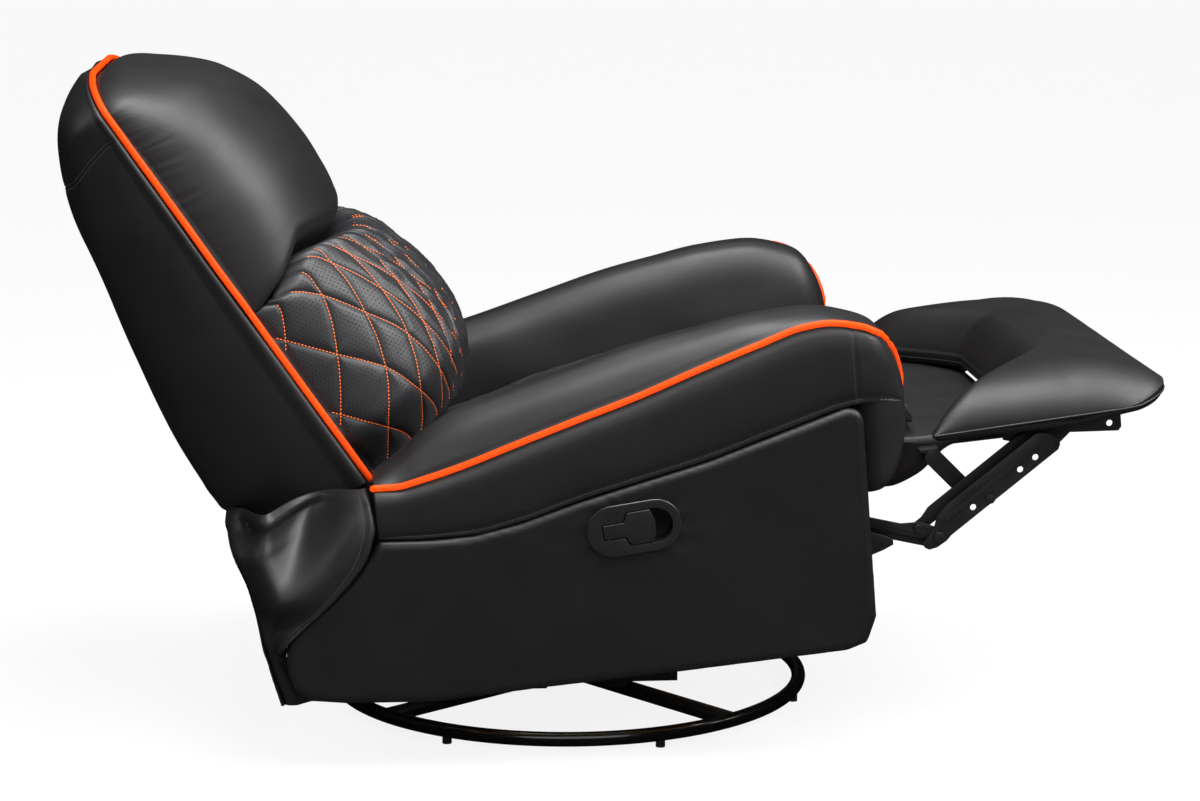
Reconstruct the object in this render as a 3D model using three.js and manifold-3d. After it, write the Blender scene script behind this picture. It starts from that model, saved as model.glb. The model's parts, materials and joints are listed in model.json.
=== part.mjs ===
// A manual swivel rocker recliner, footrest out: padded carcass, reclining back and steel linkage.
// Millimetres, +Z up. The chair faces -Y and its release handle is on the -X side.
// Side outlines are drawn as (f, z): f runs forward, z up. A point becomes (x, -f, z) in the scene.
import * as THREE from 'three';
import { mergeVertices } from 'three/addons/utils/BufferGeometryUtils.js';
import Module from 'manifold-3d';

const wasm = await Module();
wasm.setup();

// Clearances and rest angles
const gap = 0.3; // between pieces that touch
const runningFit = 0.4; // a pin's radius to its hole's
const overrun = 2; // a cutter past the face it cuts
const weldTolerance = 1e-3;
const rockBack = THREE.MathUtils.degToRad(5.5);
const backLean = THREE.MathUtils.degToRad(28.9);
const mainLinkAngle = THREE.MathUtils.degToRad(33.5);
const liftLinkAngle = THREE.MathUtils.degToRad(-18);

// Base ring, cross and swivel bearing
const ring = {
  radius: 335, tube: 10, glideHeight: 8, glideRadius: 6.5, glides: 7, glideTurn: THREE.MathUtils.degToRad(-72),
};
const cross = { width: 30, height: 12, yaw: THREE.MathUtils.degToRad(38), drop: 3 };
const swivel = {
  plate: 170, plateCorner: 16, plateThickness: 4, boltHole: 5, boltInset: 20,
  raceOuter: 56, raceInner: 42, raceHeight: 8, raceGroove: 2,
  kingpin: 8, kingpinHead: 14, kingpinHeadHeight: 6,
};
const rail = { x: 152, width: 44, height: 26, wall: 3, front: 142, rear: -206, top: 76 };
const tie = { f: 56, width: 30 };

// Rocker and its springs. The rock line is where the carcass turns, in the carcass's own frame.
const rockLine = { f: -39, z: 88 };
const rocker = {
  radius: 560, reach: 140, x: 141, thickness: 6, topReach: 166, hole: 10, holes: 3, holePitch: 76,
};
const chassis = { from: 132, leg: 40, wall: 3, bottom: 130 };
const rockSpring = { offset: 152, x: 160, coil: 12, wire: 2, turns: 4, seatGap: 0.3 };

// Carcass, in the carcass's own frame. Its widths are taken inward from the side panel's face.
const panel = {
  outer: 405, depth: 39, bevel: 7, bevelSteps: 2, front: 358, corner: 18, cornerBack: 5, cornerDrop: 6,
  seamGap: 0.6,
};
const frameDepth = 43.5;
const frameOuter = panel.outer - panel.depth;
const frame = {
  outer: frameOuter, inner: frameOuter - frameDepth, rear: -262, front: 332, bottom: 135, rail: 38, post: 40,
  bays: 3,
};
const armInsets = { face: 1, piping: 12, nose: 70, crest: 74, rear: 100, width: 142 };
const armOuter = panel.outer - armInsets.face;
const arm = {
  outer: armOuter, inner: armOuter - armInsets.width, rearInner: armOuter - armInsets.rear,
  pipingEdge: armOuter - armInsets.piping, crest: armOuter - armInsets.crest, noseX: armOuter - armInsets.nose,
  rear: -289, front: 422, bottom: 338, top: 588, noseStart: 359.4, noseZ: 447, noseSweep: 15, seamStep: 1,
  footInset: 14, lowRound: 1.5, highRound: 2, shoulder: 44, shoulderDrop: 16, crown: 24, crownDrop: 3,
  innerRoll: 8, innerEdge: 3, innerFoot: 1, taperFromShare: 0.03, taperToShare: 0.16,
};
const piping = { radius: 4.5 };
const handle = {
  f: 44, z: 331, tilt: THREE.MathUtils.degToRad(3.2), length: 126, height: 69, flange: 4, wall: 2.5,
  depth: 34, stemRear: -41, stemFront: -13, stemHalf: 9.8, headRear: -7, headFront: 28, headHalf: 22,
  pocketFront: 51, frontShoulder: 23, clearance: 1.2, paddle: 7, paddleBevel: 1, pin: 2.5, pinInset: 6,
};
const seatInsets = { front: 8, rear: 15 };
const seat = {
  rear: -190, front: 446, half: arm.inner - seatInsets.front, rearHalf: arm.inner - seatInsets.rear,
  bottomRear: 300, bottomRiseShare: 0.185, rise: 208, lipFrom: 395, lipBottom: 396, side: 46, crown: 10,
  groove: 5, diamondAcross: 88, diamondAlong: 124,
};
const frontRail = { f: 305, depth: 20, height: 78 };
const rearRail = { f: -186, depth: 24, height: 62 };
const seatSpring = { wire: 2, rows: 4, sideRoom: 45, swing: 22, waves: 7 };
const springReach = arm.inner - seatSpring.sideRoom - seatSpring.swing;
const springPitch = (2 * springReach) / (seatSpring.rows - 1);

// Footrest linkage. Each layer is its inner face's distance from the middle plane.
const steel = { link: 3.5, plate: 3.2, washer: 3, plateGap: 0.8 };
const layerAt = (count) => frame.inner - steel.plateGap - steel.plate - count * (steel.link + steel.washer);
const layers = {
  bracket: layerAt(4), inner: layerAt(3), lift: layerAt(2), main: layerAt(1), plate: layerAt(0),
};
const liftPivot = { f: 293.6, z: 302.1 };
const lift = { length: 175, half: 7, pin: 5 };
const knuckle = { boss: 9.5, crownStart: 5, crown: 11, tip: 3, chin: 9, chinDrop: 6.5, throat: 2 };
const lower = { spacing: 17, angle: THREE.MathUtils.degToRad(207), half: 6, pin: 3.5 };
const rise = { crank: 30, angle: THREE.MathUtils.degToRad(153), half: 8, wide: 13, pin: 4 };
const main = {
  length: 195, below: 8, above: 29, tail: 24, tip: 13, hole: 4.5, holeShares: [0.313, 0.729, 0.863],
  holeOffset: 3.3, bridgeShare: 0.441, bridgeOffset: -2.5, ribOffset: 14, ribHalf: 3, ribHeight: 1.6,
  ribFromShare: 0.12, ribToShare: 0.8, rivetShare: 0.42, rivetOffset: 22, rivet: 3.5, pin: 4,
};
const head = { radius: 8, height: 2, small: 6.5, thin: 1.6 };
const driveTube = { radius: 11, spigot: 6 };
const mechPlate = {
  rear: -176, front: 330, bottom: 182, top: 332, nose: 396, noseTop: 260, noseBottom: 241, footRise: 50,
  footRun: 40, toeRun: 70, toeDrop: 16, noseBack: 14, noseRound: 6, neck: 10, neckRise: 18, corner: 20,
  hole: 20, holeShares: [0.16, 0.34, 0.52, 0.7],
};

// Footrest pad, its brackets and the bridge pad
const padOverhang = 59.5;
const padHalf = layers.bracket + padOverhang;
const wingTip = 14;
const pad = {
  rear: 457, front: 789, half: padHalf, notch: 592, notchInner: 146, notchOuter: padHalf - wingTip,
  corner: 84, cornerRise: 78, bottom: 381, edge: 30, crown: 54, rearFall: 60, frontFall: 190,
};
// The pad's underside is flat, then rises in two runs towards the front.
const padRuns = { toe: 51, knee: 88, kneeRise: 0.5, toeRise: 12, frontRise: 26 };
const padToe = pad.front - padRuns.toe;
const padKnee = padToe - padRuns.knee;
const padUnder = [
  [pad.rear, 0], [padKnee, padRuns.kneeRise], [padToe, padRuns.toeRise], [pad.front, padRuns.frontRise],
];
const bracket = { rear: 560, front: 723, reach: 652, lip: 13, flange: 22, hole: 4.5, toeHole: 16, boss: 9.5 };
const bridgeInset = 22.5;
const bridge = {
  rear: 400, front: 602, half: layers.bracket - bridgeInset, top: 388, hem: 308, hemMid: 360, midF: 494,
  flat: 380, nose: 373, noseBottom: 366, edge: 4, crown: 4, armHalf: 10, armWide: 12, armRoom: 42, elbowRun: 33,
  elbowZ: 314, armTopZ: 354, tabBack: 18, tabRise: 12, tabLength: 26,
};

// Back, drawn along its own slope: s runs up from the piping's lower end, n forward
const backFoot = { f: -297, z: 407 };
const backInset = 4;
const back = {
  half: arm.rearInner - backInset, height: 646, cornerAcross: 190, cornerUp: 60, depthFoot: 204, leastDepth: 1,
  footRise: 72, wall: 25, topWall: 34, rim: 10,
};
// Exponents of the curves that round the soft forms: pure numbers, as shares are
const roundShares = { backFoot: 1.6, backSide: 5, backDepth: 2.6, pillow: 2.4, lumbar: 2.4 };
const backPivot = { f: -215, z: 322 };
const backFrameInset = 47;
const backFrame = {
  half: back.half - backFrameInset, post: 26, depth: 36, foot: 12, top: 560, railHeight: 40, midRail: 300,
};
const backBracket = {
  inner: backFrame.half + gap, thickness: 4, half: 13, pin: 6, below: 10, above: 120, lugGap: 5,
  lugThickness: 4, lugReach: 14, lugFoot: 6, lugHead: 4, lugStep: 8, lugFlat: 6, lugChin: 5, lugFlange: 34,
};
const lugInner = backBracket.inner + backBracket.thickness + backBracket.lugGap;
const pillow = { foot: 270, depth: 179 };
const lumbarInset = 57;
const lumbar = {
  foot: -14, top: 264, footHalf: back.half - lumbarInset, spread: 70, depth: 220, groove: 5, diamonds: 8,
};
const backPiping = { radius: 4 };
const skirtInset = 3;
const skirt = {
  topHalf: back.half - skirtInset, half: frame.outer, flareFrom: 384, flareTo: 326, rearTop: -486,
  rearBottom: -440, topZ: 371, bottom: 118, front: -293, thickness: 5, corner: 46, fold: 7, folds: 3,
  frontRise: 30, frontLift: 40,
};

// Upright rows of shares: length along the arm, then crest, piping and seam heights in the arm's height
const armShares = [
  [0, 0.36, 0.316, 0.048], [0.039, 0.432, 0.316, 0.036], [0.09, 0.54, 0.34, 0.024],
  [0.17, 0.655, 0.392, 0.02], [0.258, 0.72, 0.464, 0.056], [0.378, 0.805, 0.56, 0.14],
  [0.496, 0.885, 0.652, 0.208], [0.615, 0.948, 0.76, 0.276], [0.733, 0.994, 0.86, 0.368],
  [0.815, 1, 0.924, 0.432], [0.871, 0.99, 0.936, 0.476], [0.911, 0.944, 0.904, 0.492],
];
// The seat's top in shares of its length and of its height above the rear of its underside
const seatTopShares = [
  [0, 0.46], [0.06, 0.5], [0.27, 0.68], [0.48, 0.87], [0.62, 0.955], [0.77, 1], [0.87, 0.975], [0.93, 0.9],
  [0.97, 0.78], [0.99, 0.66], [1, 0.56],
];
// Back outlines in shares of its height (s) and of the largest depth (n)
const backDepthShares = [
  [0.087, 1], [0.24, 0.966], [0.36, 0.905], [0.47, 0.836], [0.6, 0.737], [0.69, 0.673], [0.78, 0.609],
  [0.86, 0.514], [0.91, 0.437], [0.96, 0.321], [0.985, 0.2], [1, 0.06],
];
const pillowShares = [
  [0.415, 0.84], [0.43, 0.895], [0.47, 0.94], [0.545, 0.98], [0.62, 1], [0.735, 0.955], [0.84, 0.79],
  [0.93, 0.42], [0.98, 0.2], [0.994, 0.1],
];
const lumbarShares = [
  [0, 0.52], [0.06, 0.8], [0.17, 0.915], [0.28, 0.977], [0.39, 1], [0.52, 1], [0.66, 0.968], [0.83, 0.89],
  [0.95, 0.8], [1, 0.72],
];
// The side panel's outline below the arm: back from its front and down from the arm, in the arm's height
const panelFootShares = [
  [0.016, 0.664], [0.076, 0.8], [0.188, 0.832], [1.14, 0.844], [1.832, 0.844], [2.364, 0.856], [2.676, 0.824],
  [2.844, 0.808], [3.056, 0.768], [3.12, 0.7],
];
const panelTailShares = [
  [3.14, 0.592], [3.132, 0.492], [3.108, 0.432], [3.004, 0.344], [2.864, 0.244], [2.732, 0.132], [2.632, 0.02],
];

// Materials
const finish = (color, roughness, metalness) => (
  new THREE.MeshStandardMaterial({ color, roughness, metalness })
);
const leather = finish(0x17171a, 0.48, 0);
const quilted = finish(0x141416, 0.55, 0);
const orange = finish(0xff5a0a, 0.45, 0);
const blackSteel = finish(0x101012, 0.5, 0.6);
const glossTube = finish(0x0c0c0e, 0.25, 0.6);
const zinc = finish(0x9a9a9c, 0.4, 0.8);
const timber = finish(0xb98d5c, 0.75, 0);
const plastic = finish(0x131314, 0.5, 0);

// Geometry helpers
const at = (x, f, z) => new THREE.Vector3(x, -f, z);

// Index order is turned round where a mirrored build left the faces pointing in.
function facingOut(geometry) {
  for (const name of ['normal', 'uv']) geometry.deleteAttribute(name);
  const merged = mergeVertices(geometry, weldTolerance);
  const place = merged.getAttribute('position');
  const index = Array.from(merged.index.array);
  const [a, b, c] = [0, 1, 2].map(() => new THREE.Vector3());
  const faces = [];
  let volume = 0;
  for (let i = 0; i < index.length; i += 3) {
    const [i0, i1, i2] = index.slice(i, i + 3);
    if (i0 === i1 || i1 === i2 || i2 === i0) continue;
    faces.push([i0, i1, i2]);
    a.fromBufferAttribute(place, i0);
    b.fromBufferAttribute(place, i1);
    c.fromBufferAttribute(place, i2);
    volume += a.dot(b.cross(c));
  }
  merged.setIndex(faces.flatMap(([i0, i1, i2]) => (volume < 0 ? [i0, i2, i1] : [i0, i1, i2])));
  return merged;
}

function toSolid(geometry) {
  const merged = facingOut(geometry.clone());
  return new wasm.Manifold(new wasm.Mesh({
    numProp: 3,
    vertProperties: merged.getAttribute('position').array,
    triVerts: new Uint32Array(merged.index.array),
  }));
}

function toGeometry(solid) {
  const mesh = solid.getMesh();
  const geometry = new THREE.BufferGeometry();
  geometry.setAttribute('position', new THREE.BufferAttribute(new Float32Array(mesh.vertProperties), 3));
  geometry.setIndex(Array.from(mesh.triVerts));
  return geometry;
}

const join = (...parts) => toGeometry(parts.map(toSolid).reduce((sum, part) => sum.add(part)));
const cut = (body, ...tools) => (
  toGeometry(tools.map(toSolid).reduce((rest, tool) => rest.subtract(tool), toSolid(body)))
);

// A closed skin over rings that each hold the same number of points
function loft(rings) {
  const count = rings[0].length;
  const points = rings.flat();
  const faces = [];
  for (let i = 0; i + 1 < rings.length; i += 1) {
    for (let j = 0; j < count; j += 1) {
      const [p, q] = [i * count + j, i * count + ((j + 1) % count)];
      faces.push(p, q, p + count, q, q + count, p + count);
    }
  }
  const ends = [0, rings.length - 1];
  ends.forEach((ringIndex, end) => {
    const middle = rings[ringIndex].reduce((sum, p) => sum.add(p), new THREE.Vector3()).divideScalar(count);
    const hub = points.push(middle) - 1;
    for (let j = 0; j < count; j += 1) {
      const [p, q] = [ringIndex * count + j, ringIndex * count + ((j + 1) % count)];
      faces.push(...(end ? [p, q, hub] : [q, p, hub]));
    }
  });
  const geometry = new THREE.BufferGeometry().setFromPoints(points);
  geometry.setIndex(faces);
  return facingOut(geometry);
}

// A side outline in (f, z), given thickness along X from x0 to x1
function sidePlate(shape, x0, x1, bevel = 0, bevelSteps = 1) {
  const depth = x1 - x0 - 2 * bevel;
  const geometry = new THREE.ExtrudeGeometry(shape, {
    depth, bevelEnabled: bevel > 0, bevelThickness: bevel, bevelSize: bevel, bevelOffset: -bevel,
    bevelSegments: bevelSteps, curveSegments: 6,
  });
  const place = geometry.getAttribute('position');
  for (let i = 0; i < place.count; i += 1) {
    place.setXYZ(i, x0 + bevel + place.getZ(i), -place.getX(i), place.getY(i));
  }
  return facingOut(geometry);
}

const mirrorX = (geometry, side) => facingOut(geometry.clone().scale(side, 1, 1));
const shapeOf = (points) => new THREE.Shape(points.map(([u, v]) => new THREE.Vector2(u, v)));

function block(x0, x1, f0, f1, z0, z1) {
  const geometry = new THREE.BoxGeometry(x1 - x0, f1 - f0, z1 - z0);
  return geometry.translate((x0 + x1) / 2, -(f0 + f1) / 2, (z0 + z1) / 2);
}

// A round bar along X
function barX(radius, x0, x1, f, z, sides = 16) {
  const geometry = new THREE.CylinderGeometry(radius, radius, x1 - x0, sides);
  return geometry.rotateZ(Math.PI / 2).translate((x0 + x1) / 2, -f, z);
}

// A round disc or post that stands along Z
function postZ(radius, z0, z1, x = 0, f = 0, sides = 24) {
  const geometry = new THREE.CylinderGeometry(radius, radius, z1 - z0, sides);
  return geometry.rotateX(Math.PI / 2).translate(x, -f, (z0 + z1) / 2);
}

// A shape that follows two points with round ends, as flat links do
function linkShape(from, to, half, steps = 8) {
  const along = new THREE.Vector2(to.f - from.f, to.z - from.z).angle();
  const points = [];
  for (const [end, start] of [[to, along - Math.PI / 2], [from, along + Math.PI / 2]]) {
    for (let i = 0; i <= steps; i += 1) {
      const turn = start + (Math.PI * i) / steps;
      points.push([end.f + half * Math.cos(turn), end.z + half * Math.sin(turn)]);
    }
  }
  return shapeOf(points);
}

function roundHole(shape, place, radius) {
  const path = new THREE.Path();
  path.absarc(place.f, place.z, radius, 0, Math.PI * 2, true);
  shape.holes.push(path);
}

const step = (from, angle, length, offset = 0) => ({
  f: from.f + length * Math.cos(angle) - offset * Math.sin(angle),
  z: from.z + length * Math.sin(angle) + offset * Math.cos(angle),
});

// A value read from rows whose first column rises
function readRow(rows, share, column) {
  const last = rows.length - 1;
  if (share <= rows[0][0]) return rows[0][column];
  if (share >= rows[last][0]) return rows[last][column];
  const k = rows.findIndex((row) => row[0] >= share);
  const t = (share - rows[k - 1][0]) / (rows[k][0] - rows[k - 1][0]);
  return THREE.MathUtils.lerp(rows[k - 1][column], rows[k][column], t);
}

function tubeAlong(points, radius, steps, sides) {
  const outline = [];
  for (let i = 0; i < sides; i += 1) {
    const turn = (Math.PI * 2 * i) / sides;
    outline.push([radius * Math.cos(turn), radius * Math.sin(turn)]);
  }
  return facingOut(new THREE.ExtrudeGeometry(shapeOf(outline), {
    steps, extrudePath: new THREE.CatmullRomCurve3(points), bevelEnabled: false,
  }));
}

// Scene graph: a body's inner group keeps its parent's coordinates at rest and turns about the pivot.
const recliner = new THREE.Group();
recliner.name = 'gaming_recliner';

function bodyAt(parent, name, pivot, ownPivot = pivot) {
  const hinge = new THREE.Group();
  hinge.name = name;
  hinge.position.copy(pivot);
  const inner = new THREE.Group();
  inner.position.copy(ownPivot).negate();
  hinge.add(inner);
  parent.add(hinge);
  return inner;
}

function piece(body, name, geometry, material) {
  const shown = geometry.index ? geometry.toNonIndexed() : geometry;
  shown.computeVertexNormals();
  const mesh = new THREE.Mesh(shown, material);
  mesh.name = name;
  body.add(mesh);
}

const sides = [['left', 1], ['right', -1]];

// Base
const base = new THREE.Group();
recliner.add(base);
const ringZ = ring.glideHeight + ring.tube;
const crossTop = ringZ + ring.tube - cross.drop;

function makeRing() {
  const tube = new THREE.TorusGeometry(ring.radius, ring.tube, 8, 48).translate(0, 0, ringZ);
  const glides = [];
  for (let i = 0; i < ring.glides; i += 1) {
    const turn = ring.glideTurn + (Math.PI * 2 * i) / ring.glides;
    const [x, f] = [ring.radius * Math.cos(turn), ring.radius * Math.sin(turn)];
    glides.push(postZ(ring.glideRadius, 0, ring.glideHeight + ring.tube / 2, f, x, 10));
  }
  return join(tube, ...glides);
}

function makeCross() {
  const reach = ring.radius;
  const bars = [cross.yaw, cross.yaw + Math.PI / 2].map((turn) => block(
    -reach, reach, -cross.width / 2, cross.width / 2, crossTop - cross.height, crossTop,
  ).rotateZ(turn));
  const cope = new THREE.TorusGeometry(ring.radius, ring.tube + gap, 8, 48).translate(0, 0, ringZ);
  const outside = new THREE.ExtrudeGeometry(ringShape(ring.radius + 2 * ring.tube, ring.radius, 48), {
    depth: cross.height + 2 * overrun, bevelEnabled: false,
  }).translate(0, 0, crossTop - cross.height - overrun);
  return cut(join(...bars), cope, outside);
}

function ringShape(outer, inner, segments) {
  const shape = new THREE.Shape(new THREE.EllipseCurve(0, 0, outer, outer).getPoints(segments).slice(1));
  shape.holes.push(new THREE.Path(new THREE.EllipseCurve(0, 0, inner, inner).getPoints(segments).slice(1)));
  return shape;
}

// A square plate with round corners, a kingpin hole and four bolt holes
function swivelPlate(z0) {
  const [h, r] = [swivel.plate / 2, swivel.plateCorner];
  const shape = new THREE.Shape();
  shape.absarc(h - r, h - r, r, 0, Math.PI / 2);
  shape.absarc(r - h, h - r, r, Math.PI / 2, Math.PI);
  shape.absarc(r - h, r - h, r, Math.PI, (Math.PI * 3) / 2);
  shape.absarc(h - r, r - h, r, (Math.PI * 3) / 2, Math.PI * 2);
  const inset = h - swivel.boltInset;
  for (const [u, v] of [[inset, inset], [-inset, inset], [-inset, -inset], [inset, -inset]]) {
    roundHole(shape, { f: u, z: v }, swivel.boltHole);
  }
  roundHole(shape, { f: 0, z: 0 }, swivel.kingpin + runningFit);
  return new THREE.ExtrudeGeometry(shape, {
    depth: swivel.plateThickness, bevelEnabled: false, curveSegments: 7,
  }).translate(0, 0, z0);
}

const lowerPlateZ = crossTop + gap;
const raceZ = lowerPlateZ + swivel.plateThickness + gap;
const upperPlateZ = raceZ + swivel.raceHeight + gap;
const frameZ = upperPlateZ + swivel.plateThickness + gap;

function makeRace() {
  const [inner, outer, groove] = [swivel.raceInner, swivel.raceOuter, swivel.raceGroove];
  const [z0, z1] = [raceZ, raceZ + swivel.raceHeight];
  const mid = (z0 + z1) / 2;
  const profile = [
    [inner, z0], [outer, z0], [outer, mid - groove], [outer - groove, mid], [outer, mid + groove],
    [outer, z1], [inner, z1], [inner, z0],
  ].map(([r, z]) => new THREE.Vector2(r, z));
  return new THREE.LatheGeometry(profile, 24).rotateX(Math.PI / 2);
}

piece(base, 'base_ring', makeRing(), glossTube);
piece(base, 'base_cross', makeCross(), blackSteel);
piece(base, 'swivel_lower_plate', swivelPlate(lowerPlateZ), blackSteel);
piece(base, 'swivel_race', facingOut(makeRace()), zinc);

// Turntable
const turntable = bodyAt(recliner, 'pivot_swivel', at(0, 0, upperPlateZ));

function makeTurntableFrame() {
  const parts = [];
  for (const side of [1, -1]) {
    const [x0, x1] = [rail.x - rail.width / 2, rail.x + rail.width / 2];
    const channel = cut(
      block(x0, x1, rail.rear, rail.front, rail.top - rail.height, rail.top),
      block(x0 + rail.wall, x1 - rail.wall, rail.rear - overrun, rail.front + overrun,
        rail.top - rail.height - overrun, rail.top - rail.wall),
    );
    parts.push(mirrorX(channel, side));
  }
  for (const f of [tie.f, -tie.f]) {
    const reach = rail.x + rail.width / 2 - rail.wall / 2;
    parts.push(block(-reach, reach, f - tie.width / 2, f + tie.width / 2, frameZ, rail.top - rail.wall / 2));
  }
  return join(...parts);
}

function makeKingpin() {
  const { kingpin, kingpinHead, kingpinHeadHeight } = swivel;
  return join(
    postZ(kingpin, lowerPlateZ + gap, frameZ + kingpinHeadHeight / 2),
    postZ(kingpinHead, frameZ, frameZ + kingpinHeadHeight, 0, 0, 6),
  );
}

piece(turntable, 'swivel_upper_plate', swivelPlate(upperPlateZ), blackSteel);
piece(turntable, 'swivel_bolt', makeKingpin(), zinc);
piece(turntable, 'turntable_frame', makeTurntableFrame(), blackSteel);

// Rock springs stand on the rails, and reach the carcass's angle rails above them.
function makeRockSpring(x, fSide) {
  const lean = fSide * rockSpring.offset;
  const underside = rail.top + (chassis.bottom - rockLine.z) * Math.cos(rockBack) + lean * Math.sin(rockBack);
  const low = rail.top + rockSpring.seatGap + rockSpring.wire;
  const pitch = (underside - low) / rockSpring.turns;
  const slopeRoom = Math.max(0, rockSpring.coil * Math.sin(rockBack) - pitch / 4);
  const high = underside - rockSpring.seatGap - rockSpring.wire - slopeRoom;
  const points = [];
  const steps = rockSpring.turns * 8;
  for (let i = 0; i <= steps; i += 1) {
    const turn = (Math.PI * 2 * i) / 8;
    points.push(at(
      x + rockSpring.coil * Math.cos(turn),
      lean * Math.cos(rockBack) + rockSpring.coil * Math.sin(turn),
      THREE.MathUtils.lerp(low, high, i / steps),
    ));
  }
  return tubeAlong(points, rockSpring.wire, steps, 5);
}

for (const [name, side] of sides) {
  piece(turntable, `rock_spring_front_${name}`, makeRockSpring(side * rockSpring.x, 1), zinc);
  piece(turntable, `rock_spring_rear_${name}`, makeRockSpring(side * rockSpring.x, -1), zinc);
}

// Carcass
const carcass = bodyAt(turntable, 'pivot_rock', at(0, 0, rail.top), at(0, rockLine.f, rockLine.z));
carcass.parent.rotation.x = -rockBack;

// The rocker's arc touches the rails when the carcass leans fully back or fully forward.
function makeRocker(side) {
  const clearance = (rocker.radius + gap) / Math.cos(rockBack) - rocker.radius;
  const centre = { f: rockLine.f, z: rockLine.z + rocker.radius + clearance };
  const half = Math.asin(rocker.reach / rocker.radius);
  const top = chassis.bottom - gap;
  const shape = new THREE.Shape();
  shape.moveTo(rockLine.f + rocker.topReach, top);
  shape.lineTo(rockLine.f - rocker.topReach, top);
  shape.lineTo(rockLine.f - rocker.topReach, top - chassis.wall * 2);
  shape.absarc(centre.f, centre.z, rocker.radius, -Math.PI / 2 - half, -Math.PI / 2 + half, false);
  shape.lineTo(rockLine.f + rocker.topReach, top - chassis.wall * 2);
  for (let i = 0; i < rocker.holes; i += 1) {
    const offset = (i - (rocker.holes - 1) / 2) * rocker.holePitch;
    roundHole(shape, { f: rockLine.f + offset, z: top - rocker.hole * 1.6 }, rocker.hole);
  }
  const plate = sidePlate(shape, rocker.x - rocker.thickness / 2, rocker.x + rocker.thickness / 2);
  return mirrorX(plate, side);
}

function makeChassis(direction) {
  const reach = frame.inner - gap;
  const near = rockLine.f + direction * chassis.from;
  const far = near + direction * chassis.leg;
  const [f0, f1] = [Math.min(near, far), Math.max(near, far)];
  const web = direction > 0 ? [f1 - chassis.wall, f1] : [f0, f0 + chassis.wall];
  return join(
    block(-reach, reach, f0, f1, chassis.bottom, chassis.bottom + chassis.wall),
    block(-reach, reach, web[0], web[1], chassis.bottom + chassis.wall / 2, chassis.bottom + chassis.leg),
  );
}

function makeSideFrame(side) {
  const top = arm.bottom - gap;
  const inside = frame.front - frame.rear - frame.post;
  const bay = inside / frame.bays;
  const [x0, x1] = [frame.inner - overrun, frame.outer + overrun];
  const bays = [];
  for (let i = 0; i < frame.bays; i += 1) {
    const [f0, f1] = [frame.rear + frame.post + i * bay, frame.rear + (i + 1) * bay];
    bays.push(block(x0, x1, f0, f1, frame.bottom + frame.rail, top - frame.rail));
  }
  const board = block(frame.inner, frame.outer, frame.rear, frame.front, frame.bottom, top);
  return mirrorX(cut(board, ...bays), side);
}

const seatBottom = (f) => Math.min(seat.bottomRear + seat.bottomRiseShare * (f - seat.rear), seat.lipBottom);
const springTop = (f) => seatBottom(f) - gap;
const wireMiddle = (f) => springTop(f) - seatSpring.wire;
const railTop = (f) => wireMiddle(f) - seatSpring.wire - gap;

function makeCrossRail(railSizes) {
  const top = railTop(railSizes.f);
  const reach = frame.inner - gap;
  const ends = layers.plate - gap;
  const low = top - railSizes.height;
  const [f0, f1] = [railSizes.f - overrun, railSizes.f + railSizes.depth + overrun];
  return cut(
    block(-reach, reach, railSizes.f, railSizes.f + railSizes.depth, low, top),
    ...[1, -1].flatMap((side) => [
      mirrorX(block(ends, reach + overrun, f0, f1, low - overrun, mechPlate.top + gap), side),
      mirrorX(block(arm.inner - gap, reach + overrun, f0, f1, arm.bottom - gap, top + overrun), side),
    ]),
  );
}

// Four sinuous wires, clipped together by one straight tie wire
function makeSeatSprings() {
  const [f0, f1] = [rearRail.f + rearRail.depth / 3, frontRail.f + (frontRail.depth * 2) / 3];
  const wires = [];
  for (let row = 0; row < seatSpring.rows; row += 1) {
    const x0 = (row - (seatSpring.rows - 1) / 2) * springPitch;
    const points = [];
    const steps = seatSpring.waves * 4;
    for (let i = 0; i <= steps; i += 1) {
      const f = THREE.MathUtils.lerp(f0, f1, i / steps);
      points.push(at(x0 + seatSpring.swing * Math.sin((Math.PI * i) / 2), f, wireMiddle(f)));
    }
    wires.push(tubeAlong(points, seatSpring.wire, steps, 5));
  }
  const middle = (f0 + f1) / 2;
  const reach = springReach + seatSpring.swing;
  wires.push(barX(seatSpring.wire, -reach, reach, middle, wireMiddle(middle) - seatSpring.wire / 2, 8));
  return join(...wires);
}

// Lattice depth of the sewn diamonds at quarter steps: 1 on a seam, less between seams
const seamShares = [1, 0.25, 0, 0.25];
const seamAt = (k) => seamShares[((k % 4) + 4) % 4];
const tuft = (i, j) => (seamAt(i + j) + seamAt(i - j)) / 2;

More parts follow.
